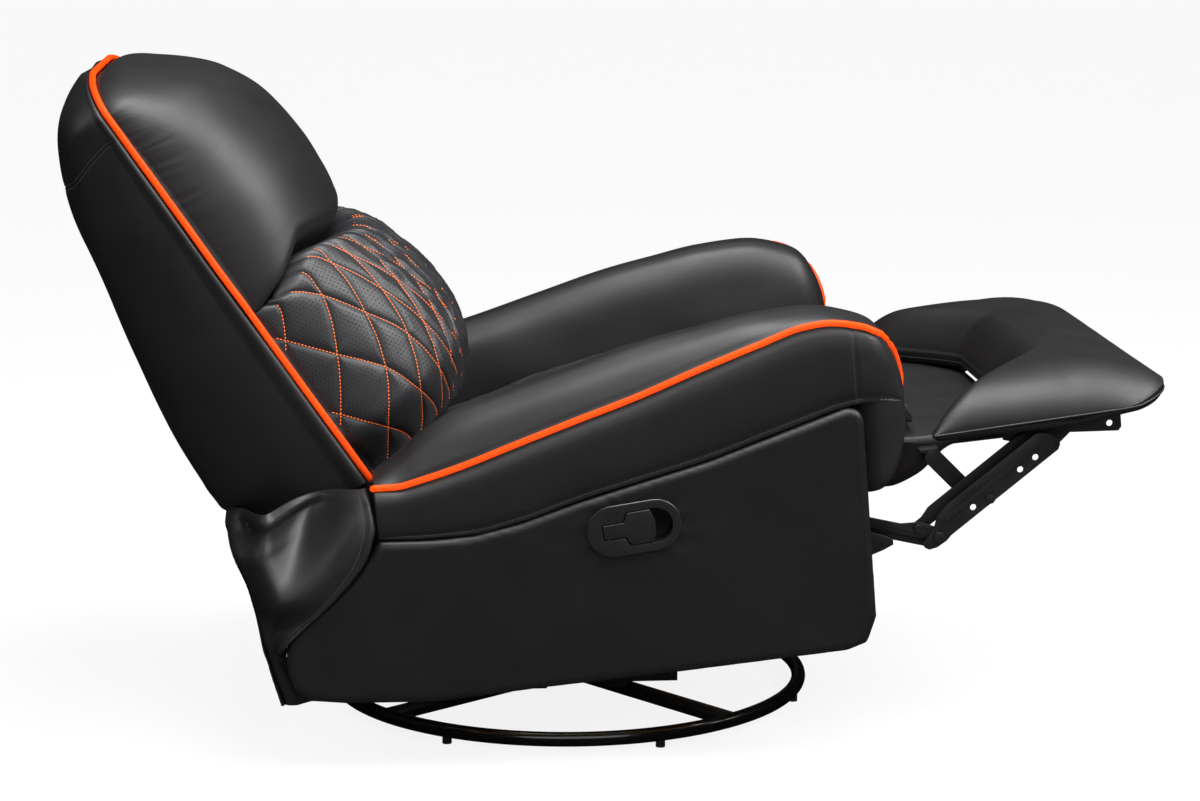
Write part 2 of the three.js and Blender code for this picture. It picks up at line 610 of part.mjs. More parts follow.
function makeSeat() {
  const rows = Math.round(((seat.front - seat.rear) * 4) / seat.diamondAlong);
  const columns = 2 * Math.round((seat.half * 4) / seat.diamondAcross);
  const rings = [];
  for (let i = 0; i <= rows; i += 1) {
    const share = Math.sin(((i / rows) * Math.PI) / 2) ** 1.35;
    const along = THREE.MathUtils.lerp(i / rows, share, 0.35);
    const f = THREE.MathUtils.lerp(seat.rear, seat.front, along);
    const half = THREE.MathUtils.lerp(seat.rearHalf, seat.half, Math.min(1, along * 8));
    const top = seat.bottomRear + seat.rise * readRow(seatTopShares, along, 1);
    const under = f < seat.lipFrom ? seatBottom(f) : seat.lipBottom;
    const ring = [at(-half + seat.side / 4, f, under)];
    ring.push(at(-half, f, THREE.MathUtils.lerp(under, top, 0.45)));
    for (let j = 0; j <= columns; j += 1) {
      const across = (j / columns) * 2 - 1;
      const round = (1 - Math.abs(across) ** 6) ** (1 / 2);
      const sideFade = Math.min(1, (1 - Math.abs(across)) * 6);
      const edgeFade = sideFade * Math.min(1, along * 12, (1 - along) * 12);
      const sink = seat.groove * tuft(i, j - columns / 2) * edgeFade;
      const z = top - seat.side / 3 + (seat.side / 3 + seat.crown * (1 - across ** 2)) * round - sink;
      ring.push(at(across * (half - seat.side / 8), f, z));
    }
    ring.push(at(half, f, THREE.MathUtils.lerp(under, top, 0.45)));
    ring.push(at(half - seat.side / 4, f, under));
    rings.push(ring);
  }
  return loft(rings);
}

// One arm section from its inner foot round to its inner face again
function armSection(f, share, stepped) {
  const height = arm.top - arm.bottom;
  const levels = [1, 2, 3].map((column) => arm.bottom + height * readRow(armShares, share, column));
  const [crest, pipe, seam] = levels;
  const taper = THREE.MathUtils.smoothstep(share, arm.taperFromShare, arm.taperToShare);
  const inner = THREE.MathUtils.lerp(arm.rearInner, arm.inner, taper);
  const wall = stepped ? frame.outer - gap : arm.outer - 2 * panel.bevel;
  const seamZ = seam + arm.seamStep;
  const rise = crest - pipe;
  const side = pipe - seamZ;
  const inside = (heightShare) => THREE.MathUtils.lerp(arm.bottom, crest, heightShare);
  return [
    [inner + arm.footInset, arm.bottom], [wall, arm.bottom], [wall, seamZ], [arm.outer - panel.bevel, seamZ],
    [arm.outer - arm.lowRound, seamZ + side * 0.16], [arm.outer, seamZ + side * 0.45],
    [arm.outer - arm.highRound, seamZ + side * 0.78], [arm.pipingEdge, pipe],
    [arm.crest + arm.shoulder, pipe + rise * 0.62], [arm.crest + arm.shoulder / 2, pipe + rise * 0.9],
    [arm.crest, crest], [Math.max(arm.crest - arm.crown, inner + arm.innerRoll), crest - arm.crownDrop],
    [Math.max(arm.crest - arm.shoulder, inner + arm.innerEdge), crest - arm.shoulderDrop],
    [inner + arm.innerRoll, inside(0.78)], [inner, inside(0.5)], [inner + arm.innerFoot, inside(0.2)],
  ].map(([x, z]) => new THREE.Vector2(x, z));
}

function makeArm(side) {
  const length = arm.front - arm.rear;
  const rings = [];
  const firstShare = 0.008;
  const soften = (section, k, kx) => section.map((p) => new THREE.Vector2(
    arm.noseX + (p.x - arm.noseX) * kx, arm.noseZ + (p.y - arm.noseZ) * k,
  ));
  for (const [share] of armShares) {
    const f = arm.rear + length * Math.max(share, 0);
    rings.push([f, armSection(f, share, true)]);
  }
  const last = armShares[armShares.length - 1][0];
  const start = armSection(arm.noseStart, last, false);
  rings.push([arm.noseStart, start]);
  const steps = 7;
  for (let i = 1; i <= steps; i += 1) {
    const turn = ((Math.PI / 2) * i) / (steps + firstShare * steps);
    const f = arm.noseStart + (arm.front - arm.noseStart) * Math.sin(turn);
    const section = soften(start, Math.cos(turn) ** 0.9, Math.cos(turn) ** 0.45);
    rings.push([f, section, arm.noseSweep * Math.sin(turn)]);
  }
  return loft(rings.map(([f, section, sweep = 0]) => section.map((p) => at(
    side * p.x, f - sweep * ((p.x - arm.noseX) / (arm.outer - arm.noseX)) ** 2, p.y,
  ))));
}

// The piping lies on the arm's outer edge, then turns in round the nose.
function makeArmPiping(side) {
  const length = arm.front - arm.rear;
  const height = arm.top - arm.bottom;
  const out = piping.radius + gap;
  const points = armShares.map(([share, , pipe]) => at(
    side * (arm.pipingEdge + out * 0.75), arm.rear + length * share, arm.bottom + height * pipe + out * 0.75,
  ));
  const last = armShares[armShares.length - 1];
  const pipeZ = arm.bottom + height * last[2];
  for (const turnShare of [0.25, 0.5, 0.72, 0.86]) {
    const turn = (Math.PI / 2) * turnShare;
    const [k, kx] = [Math.cos(turn) ** 0.9, Math.cos(turn) ** 0.45];
    const x = arm.noseX + (arm.pipingEdge - arm.noseX) * kx;
    const sweep = arm.noseSweep * Math.sin(turn) * ((x - arm.noseX) / (arm.outer - arm.noseX)) ** 2;
    points.push(at(
      side * (x + out * 0.8),
      arm.noseStart + (arm.front - arm.noseStart) * Math.sin(turn) - sweep + out * Math.sin(turn),
      arm.noseZ + (pipeZ - arm.noseZ) * k + out * Math.cos(turn) * 1.1,
    ));
  }
  return tubeAlong(points, piping.radius, 36, 6);
}

function stadiumShape(length, height, segments = 10) {
  const [half, r] = [length / 2 - height / 2, height / 2];
  const points = [];
  for (const [centre, start] of [[half, -Math.PI / 2], [-half, Math.PI / 2]]) {
    for (let i = 0; i <= segments; i += 1) {
      const turn = start + (Math.PI * i) / segments;
      points.push([centre + r * Math.cos(turn), r * Math.sin(turn)]);
    }
  }
  return points;
}

// Handle outlines are drawn about the bezel's middle and then tilted into the side's own frame.
function tilted(points) {
  return shapeOf(points.map(([u, v]) => {
    const place = step({ f: handle.f, z: handle.z }, handle.tilt, u, v);
    return [place.f, place.z];
  }));
}

function keyOutline(grow, front, round) {
  const [stem, top] = [handle.stemHalf + grow, handle.headHalf + grow];
  const upper = [
    [handle.stemRear - grow, stem], [handle.stemFront - grow, stem], [handle.headRear - grow, top],
  ];
  if (round) {
    for (let i = 0; i <= 8; i += 1) {
      const turn = Math.PI / 2 - (Math.PI / 2) * (i / 8);
      upper.push([front - top + top * Math.cos(turn), top * Math.sin(turn)]);
    }
  } else {
    upper.push([handle.frontShoulder, top], [front, top / 3]);
  }
  const lowerHalf = upper.filter(([, v]) => v > 1e-6).map(([u, v]) => [u, -v]).reverse();
  return [...upper, ...lowerHalf].reverse();
}

function makePanel(side) {
  const length = arm.front - arm.rear;
  const height = arm.top - arm.bottom;
  const seamZ = (f) => arm.bottom + height * readRow(armShares, (f - arm.rear) / length, 3) - panel.seamGap;
  const cornerF = panel.front - panel.corner;
  const cornerZ = seamZ(cornerF);
  const places = armShares.map(([share]) => arm.rear + length * share).filter((f) => f < cornerF);
  const edge = [...panelFootShares, ...panelTailShares].map(([along, down]) => (
    [panel.front - height * along, arm.bottom - height * down]
  ));
  const shape = shapeOf([
    ...edge, ...places.map((f) => [f, seamZ(f)]), [cornerF, cornerZ],
    [panel.front - panel.cornerBack, cornerZ - panel.cornerDrop], [panel.front, cornerZ - panel.corner],
  ]);
  const board = sidePlate(shape, frame.outer + gap, panel.outer, panel.bevel, panel.bevelSteps);
  if (side > 0) return board;
  const lip = handle.flange * 4;
  const cup = tilted(stadiumShape(handle.length - lip, handle.height - lip));
  const pocket = sidePlate(cup, frame.outer - overrun, panel.outer + overrun);
  return mirrorX(cut(board, pocket), side);
}

// A flange with a cup behind it and the key-shaped mouth that the paddle fills
function makeBezel() {
  const outer = stadiumShape(handle.length, handle.height);
  const inset = handle.flange * 2;
  const face = panel.outer + gap;
  const cupOuter = stadiumShape(handle.length - 2 * inset - 2 * gap, handle.height - 2 * inset - 2 * gap);
  const cupInner = stadiumShape(
    handle.length - 2 * inset - 2 * handle.wall, handle.height - 2 * inset - 2 * handle.wall,
  );
  const back = face - handle.depth;
  const shell = join(
    sidePlate(tilted(outer), face, face + handle.flange, handle.flange / 4),
    sidePlate(tilted(cupOuter), back, face + handle.flange / 2),
  );
  const mouth = tilted(keyOutline(handle.clearance, handle.pocketFront, true));
  return mirrorX(cut(
    shell,
    sidePlate(tilted(cupInner), back + handle.wall, face - handle.wall),
    sidePlate(mouth, face - handle.wall - overrun, face + handle.flange + overrun),
  ), -1);
}

for (const [name, side] of sides) piece(carcass, `rocker_${name}`, makeRocker(side), blackSteel);
piece(carcass, 'chassis_front', makeChassis(1), blackSteel);
piece(carcass, 'chassis_rear', makeChassis(-1), blackSteel);
for (const [name, side] of sides) piece(carcass, `side_frame_${name}`, makeSideFrame(side), timber);
piece(carcass, 'front_rail', makeCrossRail(frontRail), timber);
piece(carcass, 'rear_rail', makeCrossRail(rearRail), timber);
piece(carcass, 'seat_springs', makeSeatSprings(), zinc);
piece(carcass, 'seat_cushion', makeSeat(), quilted);
for (const [name, side] of sides) {
  piece(carcass, `arm_${name}`, makeArm(side), leather);
  piece(carcass, `arm_piping_${name}`, makeArmPiping(side), orange);
  piece(carcass, `side_panel_${name}`, makePanel(side), leather);
}
piece(carcass, 'handle_bezel', makeBezel(), plastic);

// Release lever: the paddle swings out about an upright pin at its rear end.
const leverPivot = step({ f: handle.f, z: handle.z }, handle.tilt, handle.stemRear + handle.pinInset);
const leverX = -(panel.outer + gap + handle.flange - handle.paddle / 2);
const lever = bodyAt(carcass, 'pivot_lever', at(leverX, leverPivot.f, leverPivot.z));

function makePaddle() {
  const face = panel.outer + gap + handle.flange;
  const outline = tilted(keyOutline(0, handle.headFront, false));
  const blade = sidePlate(outline, face - handle.paddle, face, handle.paddleBevel);
  const bore = postZ(handle.pin + gap, -handle.stemHalf - overrun, handle.stemHalf + overrun, 0, 0, 12)
    .rotateX(-handle.tilt).translate(-leverX, -leverPivot.f, leverPivot.z);
  return mirrorX(cut(blade, bore), -1);
}

function makePaddlePin() {
  const reach = handle.stemHalf + handle.clearance - gap;
  const pin = postZ(handle.pin, -reach, reach, 0, 0, 12).rotateX(-handle.tilt);
  return pin.translate(leverX, -leverPivot.f, leverPivot.z);
}

piece(lever, 'release_paddle', makePaddle(), plastic);
piece(lever, 'paddle_pin', makePaddlePin(), zinc);

// Linkage: two parallelograms, so the main links keep their slope and the footrest turns with the lift links.
const lowerPivot = step(liftPivot, lower.angle, lower.spacing);
const knee = step(liftPivot, liftLinkAngle, lift.length);
const lowerKnee = step(knee, lower.angle, lower.spacing);
const riseKnee = step(knee, rise.angle, rise.crank);
const footPivot = step(knee, mainLinkAngle, main.length);
const risePin = step(footPivot, rise.angle, rise.crank);
const bridgePivot = step(knee, mainLinkAngle, main.length * main.bridgeShare, main.bridgeOffset);

const liftBody = bodyAt(carcass, 'pivot_lift', at(0, liftPivot.f, liftPivot.z));
const lowerBody = bodyAt(carcass, 'pivot_lower', at(0, lowerPivot.f, lowerPivot.z));
const mainBody = bodyAt(liftBody, 'pivot_main', at(0, knee.f, knee.z));
const riseBody = bodyAt(liftBody, 'pivot_rise', at(0, riseKnee.f, riseKnee.z));
const footBody = bodyAt(mainBody, 'pivot_footrest', at(0, footPivot.f, footPivot.z));
const bridgeBody = bodyAt(mainBody, 'pivot_bridge', at(0, bridgePivot.f, bridgePivot.z));

// Side plate of the linkage with its two fixed pins and a nose below the lift link
function makeMechPlate() {
  const { rear, front, bottom, top, nose, noseTop, noseBottom, noseRound, neck, corner } = mechPlate;
  const shape = shapeOf([
    [rear, bottom + mechPlate.footRise], [rear + mechPlate.footRun, bottom], [front - mechPlate.toeRun, bottom],
    [front, noseBottom - mechPlate.toeDrop], [nose - mechPlate.noseBack, noseBottom],
    [nose, noseBottom + noseRound], [nose, noseTop - noseRound], [nose - neck, noseTop],
    [front + neck, noseTop + mechPlate.neckRise], [front - noseRound, top], [rear + corner, top],
    [rear, top - corner],
  ]);
  for (const share of mechPlate.holeShares) {
    const f = THREE.MathUtils.lerp(rear, front, share);
    roundHole(shape, { f, z: (bottom + top) / 2 }, mechPlate.hole);
  }
  const seatX = layers.plate + steel.plate / 2;
  return join(
    sidePlate(shape, layers.plate, layers.plate + steel.plate),
    barX(lift.pin, layers.lift + steel.link / 4, seatX, liftPivot.f, liftPivot.z, 12),
    barX(lower.pin, layers.inner - gap, seatX, lowerPivot.f, lowerPivot.z, 12),
  );
}

// Lift link: a narrow strip that widens into the knuckle, with the knee pin
function makeLiftLink() {
  const shape = linkShape(liftPivot, knee, lift.half);
  const beside = (along, offset, from = knee) => step(from, liftLinkAngle, along, offset);
  const wide = shapeOf([
    beside(-rise.crank * 1.9, lift.half * 0.9), beside(0, knuckle.boss, riseKnee),
    beside(knuckle.crownStart, knuckle.crown), beside(knuckle.crown, knuckle.tip),
    beside(knuckle.chin, -knuckle.chinDrop), beside(knuckle.throat, -lift.half * 0.98),
    beside(-rise.crank * 1.9, -lift.half * 0.9),
  ].map((p) => [p.f, p.z]).reverse());
  const [x0, x1] = [layers.lift, layers.lift + steel.link];
  const headX = layers.main + steel.link + gap;
  return cut(
    join(
      sidePlate(shape, x0, x1), sidePlate(wide, x0, x1),
      barX(lift.pin, x0 + steel.link / 2, headX + head.height / 2, knee.f, knee.z, 12),
      barX(head.radius, headX, headX + head.height, knee.f, knee.z, 12),
    ),
    barX(lift.pin + runningFit, x0 - overrun, x1 + overrun, liftPivot.f, liftPivot.z, 12),
    barX(rise.pin + runningFit, x0 - overrun, x1 + overrun, riseKnee.f, riseKnee.z, 12),
  );
}

function makeLowerLink() {
  const shape = linkShape(lowerPivot, lowerKnee, lower.half);
  roundHole(shape, lowerPivot, lower.pin + runningFit);
  roundHole(shape, lowerKnee, lower.pin + runningFit);
  return sidePlate(shape, layers.inner, layers.inner + steel.link);
}

// Main link: a wide plate with a pressed rib, punched holes and the lower link's pin
function makeMainLink() {
  const p = (along, offset) => {
    const place = step(knee, mainLinkAngle, along, offset);
    return [place.f, place.z];
  };
  const { length, below, above, tail, tip } = main;
  const shape = shapeOf([
    p(-tail, tail * 0.08), p(-tail * 0.88, -tail * 0.19), p(-tail * 0.46, -tail * 0.37),
    p(tail * 0.2, -tail * 0.42), p(tail * 0.6, -below), p(length + tip * 0.3, -below),
    p(length + tip * 0.8, -below * 0.5), p(length + tip, below * 0.4), p(length + tip * 0.6, above * 0.6),
    p(length - tip * 0.4, above), p(length * 0.17, above), p(length * 0.08, above * 0.86),
    p(length * 0.01, above * 0.5), p(-tail * 0.5, tail * 0.42), p(-tail * 0.9, tail * 0.35),
  ]);
  const rib = linkShape(
    step(knee, mainLinkAngle, length * main.ribFromShare, main.ribOffset),
    step(knee, mainLinkAngle, length * main.ribToShare, main.ribOffset), main.ribHalf, 4,
  );
  const rivetAt = step(knee, mainLinkAngle, length * main.rivetShare, main.rivetOffset);
  const [x0, outerFace] = [layers.main, layers.main + steel.link];
  const innerHead = layers.bracket - gap;
  const through = (radius, place) => barX(radius, x0 - overrun, outerFace + overrun, place.f, place.z, 12);
  const holes = main.holeShares.map((share) => (
    through(main.hole, step(knee, mainLinkAngle, length * share, main.holeOffset))
  ));
  const plate = cut(
    sidePlate(shape, x0, outerFace), ...holes,
    through(lift.pin + runningFit, knee), through(lower.pin + runningFit, bridgePivot),
  );
  return join(
    plate,
    sidePlate(rib, outerFace - gap, outerFace + main.ribHeight),
    barX(main.rivet, outerFace - gap, outerFace + head.thin, rivetAt.f, rivetAt.z, 10),
    barX(head.small, outerFace - gap, outerFace + head.thin, footPivot.f, footPivot.z, 12),
    barX(main.pin, innerHead - head.thin / 2, x0 + steel.link / 2, footPivot.f, footPivot.z, 12),
    barX(head.small, innerHead - head.thin, innerHead, footPivot.f, footPivot.z, 12),
    barX(lower.pin, layers.inner - gap, x0 + steel.link / 2, lowerKnee.f, lowerKnee.z, 12),
  );
}

function makeRiseLink() {
  const p = (from, along, offset) => {
    const place = step(from, mainLinkAngle, along, offset);
    return [place.f, place.z];
  };
  const { half, wide } = rise;
  const shape = shapeOf([
    p(riseKnee, -half, 0), p(riseKnee, -half * 0.7, -half * 0.7), p(riseKnee, 0, -half),
    p(risePin, 0, -half), p(risePin, half * 0.7, -half * 0.7), p(risePin, half, 0),
    p(risePin, half * 0.7, half * 0.7), p(risePin, 0, half), p(risePin, -half * 2, wide),
    p(riseKnee, half * 3.6, wide), p(riseKnee, half * 1.6, half), p(riseKnee, 0, half),
    p(riseKnee, -half * 0.7, half * 0.7),
  ]);
  const [x0, x1] = [layers.inner, layers.inner + steel.link];
  const kneeHead = layers.lift + steel.link + gap;
  const footHead = layers.bracket - gap;
  return join(
    sidePlate(shape, x0, x1),
    barX(rise.pin, x0 + steel.link / 2, kneeHead + head.thin / 2, riseKnee.f, riseKnee.z, 12),
    barX(head.small, kneeHead, kneeHead + head.thin, riseKnee.f, riseKnee.z, 12),
    barX(rise.pin, footHead - head.thin / 2, x0 + steel.link / 2, risePin.f, risePin.z, 12),
    barX(head.small, footHead - head.thin, footHead, risePin.f, risePin.z, 12),
  );
}

// The torque tube joins both lift links at their fixed pivot.
function makeDriveTube() {
  const end = layers.inner - 2 * gap;
  return join(
    barX(driveTube.radius, -end, end, liftPivot.f, liftPivot.z, 18),
    barX(driveTube.spigot, -(layers.lift - gap), layers.lift - gap, liftPivot.f, liftPivot.z, 12),
  );
}

for (const [name, side] of sides) {
  piece(carcass, `mech_plate_${name}`, mirrorX(makeMechPlate(), side), blackSteel);
  piece(liftBody, `lift_link_${name}`, mirrorX(makeLiftLink(), side), blackSteel);
  piece(lowerBody, `lower_link_${name}`, mirrorX(makeLowerLink(), side), blackSteel);
  piece(mainBody, `main_link_${name}`, mirrorX(makeMainLink(), side), blackSteel);
  piece(riseBody, `rise_link_${name}`, mirrorX(makeRiseLink(), side), blackSteel);
}
piece(liftBody, 'drive_tube', makeDriveTube(), blackSteel);

// Footrest pad: a rounded board with a crown, a wide notch towards the seat and two wings
const padLow = (f) => pad.bottom + readRow(padUnder, f, 1);
const padRear = (x) => {
  const t = (Math.abs(x) - pad.notchInner) / (pad.notchOuter - pad.notchInner);
  return THREE.MathUtils.lerp(pad.notch, pad.rear, THREE.MathUtils.clamp(t, 0, 1));
};
const padFront = (x) => {
  const t = Math.max(0, (Math.abs(x) - (pad.half - pad.corner)) / pad.corner);
  return pad.front - pad.cornerRise * (1 - Math.sqrt(Math.max(0, 1 - t * t)));
};

function makePad() {
  const outward = [1, 0.99, 0.965, 0.92, 0.85, 0.76, 0.66, 0.54, 0.415, 0.28, 0.14];
  const shares = [...outward.map((s) => -s), 0, ...outward.slice().reverse()];
  const topSteps = 10;
  return loft(shares.map((share) => {
    const x = share * pad.half;
    const [f0, f1] = [padRear(x), padFront(x)];
    const edge = Math.sqrt(Math.max(0, 1 - Math.abs(share) ** 16));
    const across = Math.sqrt(Math.max(0, 1 - Math.abs(share) ** 9));
    const low = (f) => padLow(f) + (pad.edge / 2) * (1 - edge);
    const section = [];
    for (let i = 0; i <= topSteps; i += 1) {
      const t = i / topSteps;
      const f = THREE.MathUtils.lerp(f0, f1, 0.5 - 0.5 * Math.cos(Math.PI * t));
      const rear = 1 - (1 - Math.min(1, (f - f0) / pad.rearFall)) ** 2;
      const front = 1 - (1 - Math.min(1, (f1 - f) / pad.frontFall)) ** 3;
      const round = Math.sqrt(Math.sin(Math.PI * t));
      const skin = padLow(f) + (pad.edge / 2) * (1 + edge * round);
      section.push(at(x, f, skin + pad.crown * across * rear * front));
    }
    const under = [f1 - pad.edge / 3, Math.min(padToe, f1 - pad.edge / 2), padKnee, f0 + pad.edge / 4];
    for (const f of under) section.push(at(x, f, low(f)));
    return section;
  }));
}

// Angle bracket under the footrest: an upright flange with the pivots and a flat one screwed to the board
function makeFootBracket() {
  const top = (f) => padLow(f) - gap;
  const [fp, rp] = [footPivot, risePin];
  const { boss, lip } = bracket;
  const reachZ = top(bracket.reach);
  const shape = shapeOf([
    [bracket.rear, top(bracket.rear)], [bracket.rear, top(bracket.rear) - lip],
    [rp.f - boss, rp.z - boss], [fp.f - boss * 0.8, fp.z - boss * 0.7],
    [fp.f, fp.z - boss], [fp.f + boss * 0.8, fp.z - boss * 0.6], [bracket.reach, reachZ - lip],
    [bracket.front - lip / 3, reachZ - lip * 1.4], [bracket.front, reachZ - lip],
    [bracket.front, top(bracket.front)], [padKnee, top(padKnee)],
  ]);
  const [x0, x1] = [layers.bracket, layers.bracket + steel.link];
  const flat = shapeOf([
    [bracket.rear, top(bracket.rear) - steel.link], [padKnee, top(padKnee) - steel.link],
    [bracket.front, top(bracket.front) - steel.link], [bracket.front, top(bracket.front)],
    [padKnee, top(padKnee)], [bracket.rear, top(bracket.rear)],
  ]);
  const toe = { f: bracket.front - bracket.toeHole, z: reachZ - lip / 2 };
  const through = (radius, place) => barX(radius, x0 - overrun, x1 + overrun, place.f, place.z, 12);
  return cut(
    join(sidePlate(shape, x0, x1), sidePlate(flat, x0 - bracket.flange, x0 + steel.link / 2)),
    through(main.pin + runningFit, fp), through(rise.pin + runningFit, rp), through(bracket.hole, toe),
  );
}

// Bridge pad: flat on top, with a leather hem that hangs towards the carcass
function makeBridgePad() {
  const { rear, front, edge, hem, hemMid, midF, flat, nose, noseBottom } = bridge;
  const shares = [-1, -0.985, -0.93, -0.5, 0, 0.5, 0.93, 0.985, 1];
  return loft(shares.map((share) => {
    const end = edge * share ** 8;
    const x = share * bridge.half;
    const top = bridge.top - end * 1.5 + bridge.crown * (1 - share * share);
    const fold = Math.abs(share) > 0.97 ? 0 : edge * 0.75;
    return [
      [rear + end / 2, hem + end * 2], [rear, (hem + top) / 2], [rear + edge, top - edge],
      [rear + edge * 4, top], [rear + edge * 11.5, top - edge / 2], [midF, flat],
      [front - edge * 12.5, flat - edge / 4],
      [front - edge * 6.5, flat - edge * 0.75], [front, nose - end / 4], [front - edge, noseBottom + end / 4],
      [front - edge * 10, noseBottom - edge / 2 + end / 4], [midF, hemMid - fold + end],
      [(midF + rear) / 2, (hemMid + hem) / 2 - edge * 2.5 - fold + end * 1.5],
    ].map(([f, z]) => at(x, f, z));
  }));
}

function makeBridgeArm() {
  const top = { f: arm.front + bridge.armRoom, z: bridge.armTopZ };
  const elbow = { f: top.f + bridge.elbowRun, z: bridge.elbowZ };
  const [x0, x1] = [layers.bracket, layers.bracket + steel.link];
  const headX = layers.main + steel.link + gap;
  const [tabF, tabZ] = [top.f - bridge.tabBack, top.z + bridge.tabRise];
  const tab = block(
    bridge.half + gap, x0 + steel.link / 2, tabF, tabF + bridge.tabLength, tabZ - steel.link, tabZ,
  );
  return join(
    sidePlate(linkShape(bridgePivot, elbow, bridge.armHalf, 6), x0, x1),
    sidePlate(linkShape(elbow, top, bridge.armWide, 6), x0, x1), tab,
    barX(lower.pin, x0 + steel.link / 2, headX + head.thin / 2, bridgePivot.f, bridgePivot.z, 12),
    barX(head.small, headX, headX + head.thin, bridgePivot.f, bridgePivot.z, 12),
  );
}

for (const [name, side] of sides) {
  piece(footBody, `footrest_bracket_${name}`, mirrorX(makeFootBracket(), side), blackSteel);
  piece(bridgeBody, `bridge_arm_${name}`, mirrorX(makeBridgeArm(), side), blackSteel);
}
piece(footBody, 'footrest_pad', makePad(), leather);
piece(bridgeBody, 'bridge_pad', makeBridgePad(), leather);

// Back
const backBody = bodyAt(carcass, 'pivot_recline', at(0, backPivot.f, backPivot.z));
const onBack = (x, s, n) => at(
  x,
  backFoot.f - s * Math.sin(backLean) + n * Math.cos(backLean),
  backFoot.z + s * Math.cos(backLean) + n * Math.sin(backLean),
);
const backHalf = (s, inset) => {
  const t = Math.max(0, (s - (back.height - back.cornerUp)) / (back.cornerUp - inset));
  return back.half - back.cornerAcross + (back.cornerAcross - inset) * Math.sqrt(Math.max(0, 1 - t * t));
};

// Rings of the outer back. inset makes the room inside it.
function backRings(inset, low, high, front) {
  const rings = [];
  const count = 12;
  const shares = [0, 0.1, 0.22, 0.36, 0.5, 0.62, 0.74, 0.84, 0.9, 0.94, 0.97, 0.988, 0.997];
  for (const share of shares) {
    const s = THREE.MathUtils.lerp(low, high, share);
    const half = backHalf(s, inset);
    const depth = back.depthFoot * readRow(backDepthShares, s / back.height, 1) - inset;
    const rise = Math.max(0, 1 - share * 6) * back.footRise;
    const ring = [];
    for (let j = 0; j <= count; j += 1) {
      const across = Math.cos((Math.PI * j) / count);
      const x = half * Math.sign(across) * Math.abs(across) ** 0.55;
      const edge = Math.min(1, Math.abs(x) / half);
      const n = -depth * (1 - edge ** roundShares.backSide) ** (1 / roundShares.backDepth);
      const shown = j === 0 || j === count ? front : Math.min(n, -back.leastDepth);
      const lifted = s + rise * Math.max(0, -shown / back.depthFoot) ** roundShares.backFoot;
      ring.push(onBack(x, lifted, shown));
    }
    rings.push(ring);
  }
  return rings;
}

function makeBackShell() {
  const outer = loft(backRings(0, 0, back.height, -gap));
  const room = loft(backRings(back.wall, -back.wall, back.height - back.topWall, overrun));
  return cut(outer, room);
}

function makeBackFrame() {
  const parts = [];
  const box = (x0, x1, s0, s1) => {
    const corners = [[x0, s0], [x1, s0], [x1, s1], [x0, s1]];
    const rings = [-gap - backFrame.depth, -gap].map((n) => corners.map(([x, s]) => onBack(x, s, n)));
    return loft(rings);
  };
  const { half, post, foot, top, railHeight, midRail } = backFrame;
  for (const side of [1, -1]) {
    const [near, far] = [side * half, side * (half - post)];
    parts.push(box(Math.min(near, far), Math.max(near, far), foot, top));
  }
  for (const s of [foot, midRail, top - railHeight]) {
    parts.push(box(-half + post / 2, half - post / 2, s, s + railHeight));
  }
  return join(...parts);
}

// A dome across the back: rings in s, points across from one edge to the other
function domeRings(rows, heightAt, halfAt, bulgeAt, columns, power, sinkAt) {
  const rings = [];
  for (let i = 0; i <= rows; i += 1) {
    const s = heightAt(i / rows);
    const half = halfAt(s);
    const bulge = bulgeAt(s, i / rows);
    const ring = [];
    for (let j = 0; j <= columns; j += 1) {
      const turn = Math.PI * (j / columns);
      const across = -Math.cos(turn);
      const swell = Math.max(0, 1 - Math.abs(across) ** power) ** (1 / power);
      ring.push(onBack(half * across, s, Math.max(0, bulge * swell - sinkAt(i, j, swell))));
    }
    rings.push(ring);
  }
  return rings;
}

function makeHeadPillow() {
  const rows = 14;
  const top = back.height - back.rim;
  const heightAt = (share) => THREE.MathUtils.lerp(pillow.foot, top, Math.sin((share * Math.PI) / 2) ** 0.9);
  const bulgeAt = (s) => pillow.depth * readRow(pillowShares, s / back.height, 1);
  const halfAt = (s) => backHalf(s, back.rim);
  return loft(domeRings(rows, heightAt, halfAt, bulgeAt, 18, roundShares.pillow, () => 0));
}

function makeLumbar() {
  const columns = lumbar.diamonds * 4;
  const rows = 9;
  const heightAt = (share) => THREE.MathUtils.lerp(lumbar.foot, lumbar.top, share);
  const halfAt = (s) => {
    const spread = THREE.MathUtils.smoothstep(s, 0, lumbar.spread);
    return THREE.MathUtils.lerp(lumbar.footHalf, back.half - back.rim, spread);
  };
  const bulgeAt = (s, share) => lumbar.depth * readRow(lumbarShares, share, 1);
  const sinkAt = (i, j, swell) => lumbar.groove * tuft(i, j) * Math.min(1, swell * 2);
  return loft(domeRings(rows, heightAt, halfAt, bulgeAt, columns, roundShares.lumbar, sinkAt));
}

function makeBackPiping() {
  const points = [];
  const upright = 7;
  const inset = backPiping.radius;
  for (let i = 0; i < upright; i += 1) {
    points.push([back.half - inset, ((back.height - back.cornerUp) * i) / upright + inset]);
  }
  for (let i = 0; i <= 6; i += 1) {
    const turn = ((Math.PI / 2) * i) / 6;
    points.push([
      back.half - back.cornerAcross + (back.cornerAcross - inset) * Math.cos(turn),
      back.height - back.cornerUp + (back.cornerUp - inset) * Math.sin(turn),
    ]);
  }
  const path = [...points, ...points.slice().reverse().map(([x, s]) => [-x, s])];
  return tubeAlong(path.map(([x, s]) => onBack(x, s, backPiping.radius)), backPiping.radius, 54, 6);
}

